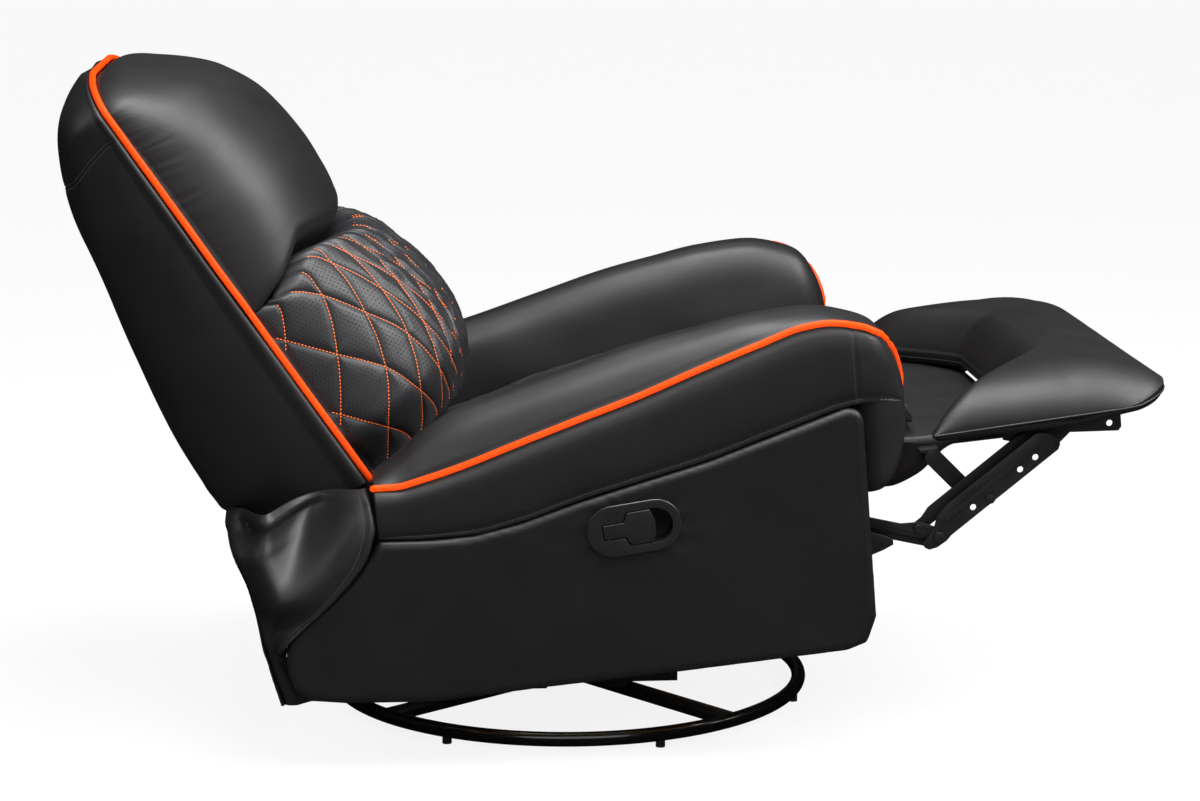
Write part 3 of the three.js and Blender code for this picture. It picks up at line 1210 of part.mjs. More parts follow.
// Hinge bracket: from the pivot pin up the outside of the frame's post
function makeBackBracket() {
  const spot = (s, n) => {
    const p = onBack(0, s, n);
    return { f: -p.y, z: p.z };
  };
  const n = -gap - backFrame.depth / 2;
  const low = spot(backFrame.foot - backBracket.below, n);
  const high = spot(backFrame.foot + backBracket.above, n);
  const [x0, x1] = [backBracket.inner, backBracket.inner + backBracket.thickness];
  const headX = lugInner + backBracket.lugThickness + gap;
  return join(
    sidePlate(linkShape(backPivot, low, backBracket.half, 6), x0, x1),
    sidePlate(linkShape(low, high, backBracket.half, 6), x0, x1),
    barX(backBracket.pin, (x0 + x1) / 2, headX + head.thin / 2, backPivot.f, backPivot.z, 12),
    barX(head.radius, headX, headX + head.thin, backPivot.f, backPivot.z, 12),
  );
}

// Fixed half of the back hinge, screwed to the rear rail
function makeBackLug() {
  const { lugReach, lugFlat, lugStep, lugThickness } = backBracket;
  const { f, z } = backPivot;
  const face = rearRail.f - gap;
  const low = railTop(rearRail.f) - rearRail.height + backBracket.lugFoot;
  const high = railTop(rearRail.f) - backBracket.lugHead;
  const shape = shapeOf([
    [face, low], [face, high], [face - lugStep, z + lugReach * 0.7], [f + lugFlat, z + lugReach],
    [f - lugFlat, z + lugReach], [f - lugReach, z + backBracket.lugChin], [f - lugReach, z - lugStep],
  ]);
  roundHole(shape, backPivot, backBracket.pin + runningFit);
  const x1 = lugInner + lugThickness;
  return join(
    sidePlate(shape, lugInner, x1),
    block(x1 - lugThickness / 2, x1 + backBracket.lugFlange, face - lugThickness, face, low, high),
  );
}

// Leather apron below the back: three sides of a box with soft corners and a few folds
function makeSkirt() {
  const levels = 7;
  const rings = [];
  for (let i = 0; i <= levels; i += 1) {
    const t = i / levels;
    const level = skirt.flareFrom - (skirt.topZ - skirt.bottom) * t;
    const flare = THREE.MathUtils.smoothstep(level, skirt.flareTo, skirt.flareFrom);
    const half = THREE.MathUtils.lerp(skirt.half, skirt.topHalf, flare);
    const rear = THREE.MathUtils.lerp(skirt.rearTop, skirt.rearBottom, t);
    const outline = [];
    const sideSteps = 5;
    for (let j = 0; j < sideSteps; j += 1) {
      outline.push([half, THREE.MathUtils.lerp(skirt.front, rear + skirt.corner, j / sideSteps), -1, 0]);
    }
    for (let j = 0; j <= 3; j += 1) {
      const turn = (Math.PI / 2) * (j / 3);
      outline.push([
        half - skirt.corner + skirt.corner * Math.cos(turn),
        rear + skirt.corner - skirt.corner * Math.sin(turn),
        -Math.cos(turn), Math.sin(turn),
      ]);
    }
    outline.push([half / 3, rear, 0, 1]);
    const whole = [...outline, ...outline.slice().reverse().map(([x, f, nx, nf]) => [-x, f, -nx, nf])];
    const place = (row, k, inward) => {
      const [x, f, nx, nf] = row;
      const sag = skirt.fold * Math.sin(Math.PI * t) * (1 - Math.cos(k * skirt.folds)) / 2;
      const frontShare = THREE.MathUtils.clamp((f - skirt.rearTop) / (skirt.front - skirt.rearTop), 0, 1);
      const upper = skirt.topZ + skirt.frontRise * frontShare ** 4;
      const z = THREE.MathUtils.lerp(upper, skirt.bottom + skirt.frontLift * frontShare, t);
      return at(x + nx * (inward + sag), f + nf * (inward + sag), z);
    };
    const inner = whole.map((row, k) => place(row, k, skirt.thickness)).reverse();
    rings.push([...whole.map((row, k) => place(row, k, 0)), ...inner]);
  }
  return loftSheet(rings);
}

// A loft whose end caps are strips between the sheet's two faces
function loftSheet(rings) {
  const count = rings[0].length;
  const faces = [];
  for (let i = 0; i + 1 < rings.length; i += 1) {
    for (let j = 0; j < count; j += 1) {
      const [p, q] = [i * count + j, i * count + ((j + 1) % count)];
      faces.push(p, q, p + count, q, q + count, p + count);
    }
  }
  for (const [start, flip] of [[0, true], [(rings.length - 1) * count, false]]) {
    for (let j = 0; j + 1 < count / 2; j += 1) {
      const [a, b, c, d] = [start + j, start + j + 1, start + count - 2 - j, start + count - 1 - j];
      faces.push(...(flip ? [b, a, d, b, d, c] : [a, b, d, b, c, d]));
    }
  }
  const geometry = new THREE.BufferGeometry().setFromPoints(rings.flat());
  geometry.setIndex(faces);
  return facingOut(geometry);
}

piece(backBody, 'back_shell', makeBackShell(), leather);
piece(backBody, 'back_frame', makeBackFrame(), timber);
piece(backBody, 'head_pillow', makeHeadPillow(), leather);
piece(backBody, 'lumbar_cushion', makeLumbar(), quilted);
piece(backBody, 'back_piping', makeBackPiping(), orange);
for (const [name, side] of sides) {
  piece(backBody, `back_bracket_${name}`, mirrorX(makeBackBracket(), side), blackSteel);
  piece(carcass, `back_lug_${name}`, mirrorX(makeBackLug(), side), blackSteel);
}
piece(carcass, 'skirt', makeSkirt(), leather);

// The origin stands under the middle of the whole chair.
recliner.updateMatrixWorld(true);
const box = new THREE.Box3().setFromObject(recliner, true);
recliner.position.y = -(box.min.y + box.max.y) / 2;
recliner.updateMatrixWorld(true);

export default recliner;
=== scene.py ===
"""Looks of a swivel rocker recliner with its footrest out: upholstery, seams, steel linkage and studio.

Lengths in the sizes below are millimetres in the carcass's own side view, where f runs forward, z up and x
across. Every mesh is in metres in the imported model's frame.
"""

import json
import logging
import math
from dataclasses import dataclass, field
from enum import Enum
from typing import Callable, Iterable, Sequence

import bmesh
import bpy
import numpy as np
from mathutils import Euler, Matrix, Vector, noise

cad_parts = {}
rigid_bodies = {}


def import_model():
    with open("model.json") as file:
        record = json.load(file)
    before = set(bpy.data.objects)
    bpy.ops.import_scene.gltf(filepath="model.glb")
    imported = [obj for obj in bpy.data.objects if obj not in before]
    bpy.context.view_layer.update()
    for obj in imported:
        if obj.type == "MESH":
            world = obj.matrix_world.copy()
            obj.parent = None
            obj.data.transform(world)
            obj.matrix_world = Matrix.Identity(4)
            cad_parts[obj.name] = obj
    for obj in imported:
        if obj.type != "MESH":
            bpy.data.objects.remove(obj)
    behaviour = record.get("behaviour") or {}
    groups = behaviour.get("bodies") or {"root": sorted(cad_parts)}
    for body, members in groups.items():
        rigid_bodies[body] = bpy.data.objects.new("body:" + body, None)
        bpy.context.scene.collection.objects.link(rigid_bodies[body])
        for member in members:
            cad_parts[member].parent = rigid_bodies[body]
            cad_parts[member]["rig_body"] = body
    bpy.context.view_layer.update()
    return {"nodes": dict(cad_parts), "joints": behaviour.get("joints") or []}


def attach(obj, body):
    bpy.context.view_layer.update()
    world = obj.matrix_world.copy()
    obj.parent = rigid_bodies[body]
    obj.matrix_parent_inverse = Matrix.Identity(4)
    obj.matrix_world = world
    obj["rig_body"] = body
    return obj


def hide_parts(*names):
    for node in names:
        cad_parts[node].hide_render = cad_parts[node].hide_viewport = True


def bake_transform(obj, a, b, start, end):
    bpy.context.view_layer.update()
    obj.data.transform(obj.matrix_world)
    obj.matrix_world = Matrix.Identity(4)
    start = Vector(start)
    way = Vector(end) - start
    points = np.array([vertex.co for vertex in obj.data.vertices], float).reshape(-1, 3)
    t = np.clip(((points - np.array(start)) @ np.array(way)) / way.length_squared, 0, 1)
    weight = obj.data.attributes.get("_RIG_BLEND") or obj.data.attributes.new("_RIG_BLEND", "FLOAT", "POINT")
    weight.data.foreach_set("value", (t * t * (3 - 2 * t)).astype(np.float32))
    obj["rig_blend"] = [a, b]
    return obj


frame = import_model()
log = logging.getLogger("recliner")
MM = 0.001
# How many straight steps a rounded curve takes from one of its points to the next.
CURVE_STEPS = 12
# A rigid edge that turns more than this stays crisp.
SHARP_ANGLE = math.radians(34)
# How many steps a finished skin has for each step of its plain form.
FINER = 4
Rows = Sequence[tuple[float, ...]]


class Side(Enum):
    """The chair's two sides, as the sign of X."""

    LEFT = 1
    RIGHT = -1

    @property
    def word(self) -> str:
        """The side's name as the nodes carry it."""
        return self.name.lower()


class Hold(Enum):
    """What a bevelled rigid piece is made of, as the width of its broken edges in millimetres."""

    SHEET_STEEL = 0.5
    TUBE_STEEL = 0.9
    MOULDING = 0.7


# Places


def joint_place(name: str) -> list[float]:
    """The place of a packed joint, in metres."""
    return next(joint for joint in frame["joints"] if joint["name"] == name)["pos_m"]


@dataclass(frozen=True)
class ChairFrame:
    """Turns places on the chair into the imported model's frame."""

    rock_back: float = math.radians(5.5)
    rock_f: float = -39.0
    rock_z: float = 88.0
    back_lean: float = math.radians(28.9)
    foot_f: float = -297.0
    foot_z: float = 407.0

    def place(self, x: np.ndarray, f: np.ndarray, z: np.ndarray) -> np.ndarray:
        """Puts side view places of the carcass into the row frame.

        Args:
            x: places across, in millimetres.
            f: places forward.
            z: heights.

        Returns:
            Points in metres, with the coordinates in the last axis.
        """
        x, f, z = np.broadcast_arrays(*(np.asarray(v, float) for v in (x, f, z)))
        axis = joint_place("rock")
        ahead, up = f - self.rock_f, z - self.rock_z
        cos, sin = math.cos(self.rock_back), math.sin(self.rock_back)
        level = axis[1] - (ahead * cos - up * sin) * MM
        height = axis[2] + (ahead * sin + up * cos) * MM
        return np.stack([x * MM, level, height], -1)

    def on_back(self, x: np.ndarray, s: np.ndarray, n: np.ndarray) -> np.ndarray:
        """Puts places of the leaning back, s up its slope and n forward of it, into the row frame.

        Args:
            x: places across, in millimetres.
            s: heights up the slope.
            n: places forward of the slope.

        Returns:
            Points in metres.
        """
        cos, sin = math.cos(self.back_lean), math.sin(self.back_lean)
        s, n = np.asarray(s, float), np.asarray(n, float)
        return self.place(x, self.foot_f - s * sin + n * cos, self.foot_z + s * cos + n * sin)


CHAIR = ChairFrame()


def smooth_rows(rows: Rows, share: np.ndarray, column: int = 1) -> np.ndarray:
    """Reads a column of a table as one smooth curve that never overshoots its rows.

    Args:
        rows: the table, whose first column rises.
        share: where to read it.
        column: which column to read.

    Returns:
        The values, in the shape of share.
    """
    xs = np.array([row[0] for row in rows], float)
    ys = np.array([row[column] for row in rows], float)
    gaps = np.diff(xs)
    slopes = np.diff(ys) / gaps
    tangent = np.zeros_like(xs)
    tangent[0], tangent[-1] = slopes[0], slopes[-1]
    same = slopes[:-1] * slopes[1:] > 0
    weight_a, weight_b = 2 * gaps[1:] + gaps[:-1], gaps[1:] + 2 * gaps[:-1]
    safe = np.where(same, slopes[:-1], 1.0), np.where(same, slopes[1:], 1.0)
    mean = (weight_a + weight_b) / (weight_a / safe[0] + weight_b / safe[1])
    tangent[1:-1] = np.where(same, mean, 0.0)
    at = np.clip(np.asarray(share, float), xs[0], xs[-1])
    k = np.clip(np.searchsorted(xs, at) - 1, 0, len(gaps) - 1)
    t = (at - xs[k]) / gaps[k]
    rise = ys[k] * (1 + 2 * t) * (1 - t) ** 2 + ys[k + 1] * t * t * (3 - 2 * t)
    return rise + gaps[k] * tangent[k] * t * (1 - t) ** 2 - gaps[k] * tangent[k + 1] * t * t * (1 - t)


def smoothstep(value: np.ndarray, low: float, high: float) -> np.ndarray:
    """Rises smoothly from 0 at low to 1 at high."""
    t = np.clip((np.asarray(value, float) - low) / (high - low), 0, 1)
    return t * t * (3 - 2 * t)


def spline(points: np.ndarray, count: int, closed: bool = False) -> np.ndarray:
    """Draws an even run of points on a rounded curve through the given ones.

    Args:
        points: the curve's own points, one a row.
        count: how many points to return.
        closed: whether the curve comes back to its start.

    Returns:
        The points, evenly spaced along the curve.
    """
    points = np.asarray(points, float)
    held = np.concatenate([points[-1:], points, points[:2]]) if closed else with_ends(points)
    return even(rounded(held), count, closed)


def with_ends(points: np.ndarray) -> np.ndarray:
    """Adds a row beyond each end of a run, mirrored through its last row."""
    return np.concatenate([2 * points[:1] - points[1:2], points, 2 * points[-1:] - points[-2:-1]])


def rounded(held: np.ndarray) -> np.ndarray:
    """Draws a rounded curve through a run of points.

    Args:
        held: the points, one a row. The first and the last only steer the curve.

    Returns:
        The curve in short straight steps, from the second point to the last but one.
    """
    t = np.arange(CURVE_STEPS)[:, None] / CURVE_STEPS
    parts = []
    for k in range(1, len(held) - 2):
        a, b, c, d = held[k - 1 : k + 3]
        bend = (2 * a - 5 * b + 4 * c - d) * t**2 + (3 * b - a - 3 * c + d) * t**3
        parts.append(0.5 * (2 * b + (c - a) * t + bend))
    return np.concatenate([*parts, held[-2:-1]])


def length_along(points: np.ndarray) -> np.ndarray:
    """How far along a run each of its points is."""
    return np.concatenate([[0], np.cumsum(np.linalg.norm(np.diff(points, axis=0), axis=1))])


def turns(count: int) -> np.ndarray:
    """The angles of a number of even steps round a circle."""
    return np.arange(count) / count * 2 * math.pi


def rolled(inside: np.ndarray, reach: float, left: float) -> np.ndarray:
    """Rolls an edge under, from the share that is left at the edge to the whole at a reach inside it."""
    tuck = np.clip(inside / reach, 0, 1)
    return left + (1 - left) * np.sqrt(1 - (1 - tuck) ** 2)


def even(points: np.ndarray, count: int, closed: bool = False) -> np.ndarray:
    """Spaces a run of points evenly along its own length.

    Args:
        points: the run, one point a row.
        count: how many points to return.
        closed: whether the run comes back to its start.

    Returns:
        The points, evenly spaced.
    """
    length = length_along(points)
    at = np.linspace(0, length[-1], count + 1)[:-1] if closed else np.linspace(0, length[-1], count)
    return np.stack([np.interp(at, length, points[:, k]) for k in range(points.shape[1])], 1)


def noise_at(points: np.ndarray, size: float, seed: int = 0) -> np.ndarray:
    """Reads smooth noise from -1 to 1 at points in metres.

    Args:
        points: the places to read, in any shape with 2 or 3 coordinates last.
        size: the size of one bump, in millimetres.
        seed: which noise to read.

    Returns:
        The noise at each place.
    """
    flat = np.asarray(points, float).reshape(-1, points.shape[-1]) / (size * MM)
    if flat.shape[1] == 2:
        flat = np.concatenate([flat, np.zeros((len(flat), 1))], 1)
    shift = Vector((seed * 17.3, seed * 5.7, seed * 11.9))
    values = [noise.noise(Vector(p) + shift) for p in flat.tolist()]
    return np.array(values).reshape(points.shape[:-1])


@dataclass(frozen=True)
class Wave:
    """Smooth unevenness of a surface: its bumps' width and height in millimetres, and how it is stretched."""

    size: float
    height: float
    seed: int
    stretch: float | tuple[float, float, float] = 1.0

    def at(self, points: np.ndarray) -> np.ndarray:
        """How high the surface stands at points in metres, in millimetres."""
        return noise_at(points * np.array(self.stretch), self.size, self.seed) * self.height


# Skins: grids of points that close into soft bodies


@dataclass
class Skin:
    """A closed soft body, as a grid of points whose columns go round and whose rows go from end to end."""

    points: np.ndarray

    def normals(self) -> np.ndarray:
        """The outward direction at each point.

        Returns:
            The directions, each one long.
        """
        across = np.roll(self.points, -1, 1) - np.roll(self.points, 1, 1)
        along = np.gradient(self.points, axis=0)
        normal = np.cross(across, along)
        normal /= np.maximum(np.linalg.norm(normal, axis=-1, keepdims=True), 1e-12)
        middle = self.points.mean(1, keepdims=True)
        return normal if (normal * (self.points - middle)).sum() > 0 else -normal

    def swell(self, amount: np.ndarray) -> None:
        """Moves the points outward by an amount in millimetres."""
        spread = np.broadcast_to(amount, self.points.shape[:2]) * MM
        self.points = self.points + self.normals() * spread[..., None]

    def finer(self) -> "Skin":
        """Puts new points between each two, on a smooth curve through the old ones.

        Returns:
            The grid, with FINER steps for each old one.
        """
        points = self.points
        for _ in range(FINER // 2):
            after, beyond = np.roll(points, -1, 1), np.roll(points, -2, 1)
            mid = (9 * (points + after) - np.roll(points, 1, 1) - beyond) / 16
            wide = np.stack([points, mid], 2).reshape(len(points), -1, 3)
            ends = with_ends(wide)
            between = (9 * (ends[1:-2] + ends[2:-1]) - ends[:-3] - ends[3:]) / 16
            points = np.empty((2 * len(wide) - 1, wide.shape[1], 3))
            points[0::2], points[1::2] = wide, between
        return Skin(points)

    def held_round(self, front: int, firmness: float = 1.0) -> np.ndarray:
        """Says where a stuffed front is held: behind, at both ends and along its side seams.

        Args:
            front: how many columns the front has.
            firmness: how firmly its side seams are held, from 0 to 1.

        Returns:
            How firmly each point is held.
        """
        held = np.zeros(self.points.shape[:2])
        held[:, front:] = 1
        held[:, 0] = held[:, front - 1] = firmness
        held[:1] = held[-1:] = 1
        return held

    def at(self, row: np.ndarray, column: np.ndarray) -> np.ndarray:
        """The points at broken row and column numbers, read in straight lines between the grid's points."""
        return lattice_read(self.points, row, column)

    def mesh(self, name: str) -> bpy.types.Object:
        """Makes the closed mesh, with its faces outward.

        Args:
            name: the object's name.

        Returns:
            The object, linked into the scene.
        """
        rows, count = self.points.shape[:2]
        vertices = self.points.reshape(-1, 3)
        start = np.arange(rows - 1)[:, None] * count
        here, there = start + np.arange(count), start + (np.arange(count) + 1) % count
        faces = np.stack([here, there, there + count, here + count], -1).reshape(-1, 4)
        hubs = np.stack([self.points[0].mean(0), self.points[-1].mean(0)])
        last = (rows - 1) * count
        caps = []
        for j in range(count):
            k = (j + 1) % count
            caps.append((k, j, rows * count))
            caps.append((last + j, last + k, rows * count + 1))
        return solid_object(name, np.concatenate([vertices, hubs]), [*map(tuple, faces.tolist()), *caps])


def lattice_read(grid: np.ndarray, row: np.ndarray, column: np.ndarray) -> np.ndarray:
    """Reads a grid whose columns go round at broken row and column numbers.

    Args:
        grid: the grid, with its values last.
        row: broken row numbers.
        column: broken column numbers.

    Returns:
        The values, read in straight lines.
    """
    row, column = np.broadcast_arrays(np.asarray(row, float), np.asarray(column, float))
    row = np.clip(row, 0, len(grid) - 1)
    i = np.clip(np.floor(row).astype(int), 0, len(grid) - 2)
    j = np.floor(column).astype(int)
    u, v = (row - i)[..., None], (column - j)[..., None]
    a, b = j % grid.shape[1], (j + 1) % grid.shape[1]
    near = grid[i, a] * (1 - u) + grid[i + 1, a] * u
    far = grid[i, b] * (1 - u) + grid[i + 1, b] * u
    return near * (1 - v) + far * v


def link(obj: bpy.types.Object) -> bpy.types.Object:
    """Puts an object into the scene."""
    bpy.context.scene.collection.objects.link(obj)
    return obj


def solid_object(name: str, vertices: np.ndarray, faces: Iterable[tuple[int, ...]]) -> bpy.types.Object:
    """Makes a smooth mesh object whose faces point outward.

    Args:
        name: the object's name.
        vertices: its points in metres.
        faces: its faces, all turned the same way round.

    Returns:
        The object, linked into the scene.
    """
    mesh = bpy.data.meshes.new(name)
    mesh.from_pydata(np.asarray(vertices).tolist(), [], list(faces))
    work = bmesh.new()
    work.from_mesh(mesh)
    if work.calc_volume(signed=True) < 0:
        bmesh.ops.reverse_faces(work, faces=work.faces)
    work.to_mesh(mesh)
    work.free()
    mesh.shade_smooth()
    return link(bpy.data.objects.new(name, mesh))


def tube(
    name: str, path: np.ndarray, radius: float, sides: int = 12, closed: bool = False,
) -> bpy.types.Object:
    """Sweeps a round section along a run of points.

    Args:
        name: the object's name.
        path: points in metres.
        radius: the section's radius in millimetres.
        sides: how many sides the section has.
        closed: whether the path comes back to its start.

    Returns:
        The tube, with round ends where it is open.
    """
    along = np.roll(path, -1, 0) - np.roll(path, 1, 0) if closed else np.gradient(path, axis=0)
    along /= np.linalg.norm(along, axis=1, keepdims=True)
    up = np.cross(along[0], np.eye(3)[np.argmin(np.abs(along[0]))])
    frames = []
    for tangent in along:
        up = up - tangent * (up @ tangent)
        up = up / np.linalg.norm(up)
        frames.append((up, np.cross(tangent, up)))
    turn = turns(sides)
    cos, sin = np.cos(turn)[:, None], np.sin(turn)[:, None]
    rings = [centre + radius * MM * (cos * u + sin * v) for centre, (u, v) in zip(path, frames)]
    if not closed:
        for end, tip in ((0, -1), (-1, 1)):
            dome = []
            for share in (0.45, 0.8, 0.97):
                wide = math.sqrt(1 - share * share) * (rings[end] - path[end])
                dome.append(path[end] + tip * share * radius * MM * along[end] + wide)
            rings = dome[::-1] + rings if end == 0 else rings + dome
        return Skin(np.array(rings)).mesh(name)
    grid = np.array(rings)
    count = len(grid)
    faces = []
    for i in range(count):
        for j in range(sides):
            a, b = i * sides + j, i * sides + (j + 1) % sides
            c, d = (i + 1) % count * sides + (j + 1) % sides, (i + 1) % count * sides + j
            faces.append((a, b, c, d))
    return solid_object(name, grid.reshape(-1, 3), faces)


def evened(grid: np.ndarray, goes_round: bool = True) -> np.ndarray:
    """Evens each point of a grid with its neighbours, across the columns and then along the rows.

    Args:
        grid: the values.
        goes_round: whether the last column meets the first.

    Returns:
        The evened values.
    """
    sides = ((0, 0), (1, 1), (0, 0))[: grid.ndim]
    wide = np.pad(grid, sides, mode="wrap" if goes_round else "edge")
    turned = (wide[:, :-2] + 2 * grid + wide[:, 2:]) / 4
    held = np.concatenate([turned[:1], turned, turned[-1:]])
    return (held[:-2] + 2 * turned + held[2:]) / 4


def inflate(
    skin: Skin, held: np.ndarray, cap: float, slack: float = 0.0, pressure: float = 4.0, steps: int = 20,
) -> Skin:
    """Blows a skin up as padded cloth, held along its seams.

    Args:
        skin: the body before it is stuffed.
        held: how firmly each point is held, from 0 to 1.
        cap: how far a point may move, in millimetres.
        slack: how much larger the cloth is cut than the skin, as a share.
        pressure: the stuffing's pressure.
        steps: how many frames the cloth moves for.

    Returns: The stuffed skin.
    """
    obj = skin.mesh("stuffing")
    rows, count = skin.points.shape[:2]
    group = obj.vertex_groups.new(name="held")
    weights = np.concatenate([np.clip(held, 0, 1).reshape(-1), [1.0, 1.0]])
    for level in np.unique(np.round(weights, 2)):
        members = np.nonzero(np.round(weights, 2) == level)[0].tolist()
        group.add(members, float(level), "REPLACE")
    cloth = obj.modifiers.new("cloth", "CLOTH")
    settings = cloth.settings
    settings.quality, settings.mass, settings.bending_stiffness = 5, 0.3, 12.0
    settings.tension_stiffness = settings.compression_stiffness = 15
    settings.vertex_group_mass, settings.pin_stiffness = "held", 1.0
    settings.use_pressure, settings.uniform_pressure_force = True, pressure
    settings.shrink_min, settings.shrink_max = -slack, -slack
    settings.effector_weights.gravity = 0
    cloth.collision_settings.use_collision = False
    cloth.point_cache.frame_start, cloth.point_cache.frame_end = 1, steps
    scene = bpy.context.scene
    for number in range(1, steps + 1):
        scene.frame_set(number)
    stuffed = obj.evaluated_get(bpy.context.evaluated_depsgraph_get())
    moved = read_points(stuffed, "co")[: rows * count].reshape(rows, count, 3) - skin.points
    scene.frame_set(1)
    bpy.data.objects.remove(obj)
    for _ in range(4):
        moved = evened(moved) * (np.asarray(held) < 1)[..., None]
    far = np.maximum(np.linalg.norm(moved, axis=-1, keepdims=True), 1e-9)
    limit = cap * MM
    return Skin(skin.points + moved / far * limit * np.tanh(far / limit))


# Node building


def add_node(
    tree: bpy.types.NodeTree, kind: str, settings: dict | None = None, inputs: dict | None = None,
) -> bpy.types.Node:
    """Adds one node with its settings, and fills or links its inputs.

    Args:
        tree: the tree that gets the node.
        kind: Blender's name for the kind of node.
        settings: the node's own properties.
        inputs: what goes into its sockets, by name or number: a value, or another node's output.

    Returns:
        The node.
    """
    made = tree.nodes.new(kind)
    for name, value in (settings or {}).items():
        setattr(made, name, value)
    for name, value in (inputs or {}).items():
        if isinstance(value, bpy.types.NodeSocket):
            tree.links.new(value, made.inputs[name])
        else:
            made.inputs[name].default_value = value
    return made


def linear(colour: str) -> tuple[float, float, float, float]:
    """Turns an sRGB hex colour into linear values."""
    parts = [int(colour.lstrip("#")[k : k + 2], 16) / 255 for k in (0, 2, 4)]
    return (*(p / 12.92 if p <= 0.04045 else ((p + 0.055) / 1.055) ** 2.4 for p in parts), 1.0)


def geometry_tree(
    name: str, sizes: dict[str, float],
) -> tuple[bpy.types.NodeTree, bpy.types.Node, dict[str, str]]:
    """Starts a geometry tree with a mesh, a material and named sizes going in.

    Args:
        name: the tree's name.
        sizes: the named sizes and their values.

    Returns:
        The tree, its input node, and each input's socket identifier by name.
    """
    tree = bpy.data.node_groups.new(name, "GeometryNodeTree")
    tree.interface.new_socket("Geometry", in_out="OUTPUT", socket_type="NodeSocketGeometry")
    tree.interface.new_socket("Geometry", in_out="INPUT", socket_type="NodeSocketGeometry")
    names = {}
    for word, kind in (*((size, "NodeSocketFloat") for size in sizes), ("Finish", "NodeSocketMaterial")):
        names[word] = tree.interface.new_socket(word, in_out="INPUT", socket_type=kind).identifier
    return tree, tree.nodes.new("NodeGroupInput"), names


def grow(
    source: bpy.types.Object, name: str, tree: bpy.types.NodeTree, names: dict[str, str],
    sizes: dict[str, float], finish: bpy.types.Material,
) -> bpy.types.Object:
    """Runs a geometry tree on an object and keeps the result as a plain mesh.

    Args:
        source: the object that carries the points or the path. It is removed.
        name: the new object's name.
        tree: the geometry tree.
        names: the tree's socket identifiers by name.
        sizes: the named sizes in millimetres.
        finish: the finish of what grows.

    Returns:
        The plain mesh object.
    """
    modifier = source.modifiers.new("grow", "NODES")
    modifier.node_group = tree
    for word, size in sizes.items():
        modifier[names[word]] = size * MM
    modifier[names["Finish"]] = finish
    bpy.context.view_layer.update()
    shown = source.evaluated_get(bpy.context.evaluated_depsgraph_get())
    mesh = bpy.data.meshes.new_from_object(shown, depsgraph=bpy.context.evaluated_depsgraph_get())
    bpy.data.objects.remove(source)
    mesh.name = name
    for spare in [a for a in mesh.attributes if a.name == "lie"]:
        mesh.attributes.remove(spare)
    mesh.shade_smooth()
    return link(bpy.data.objects.new(name, mesh))


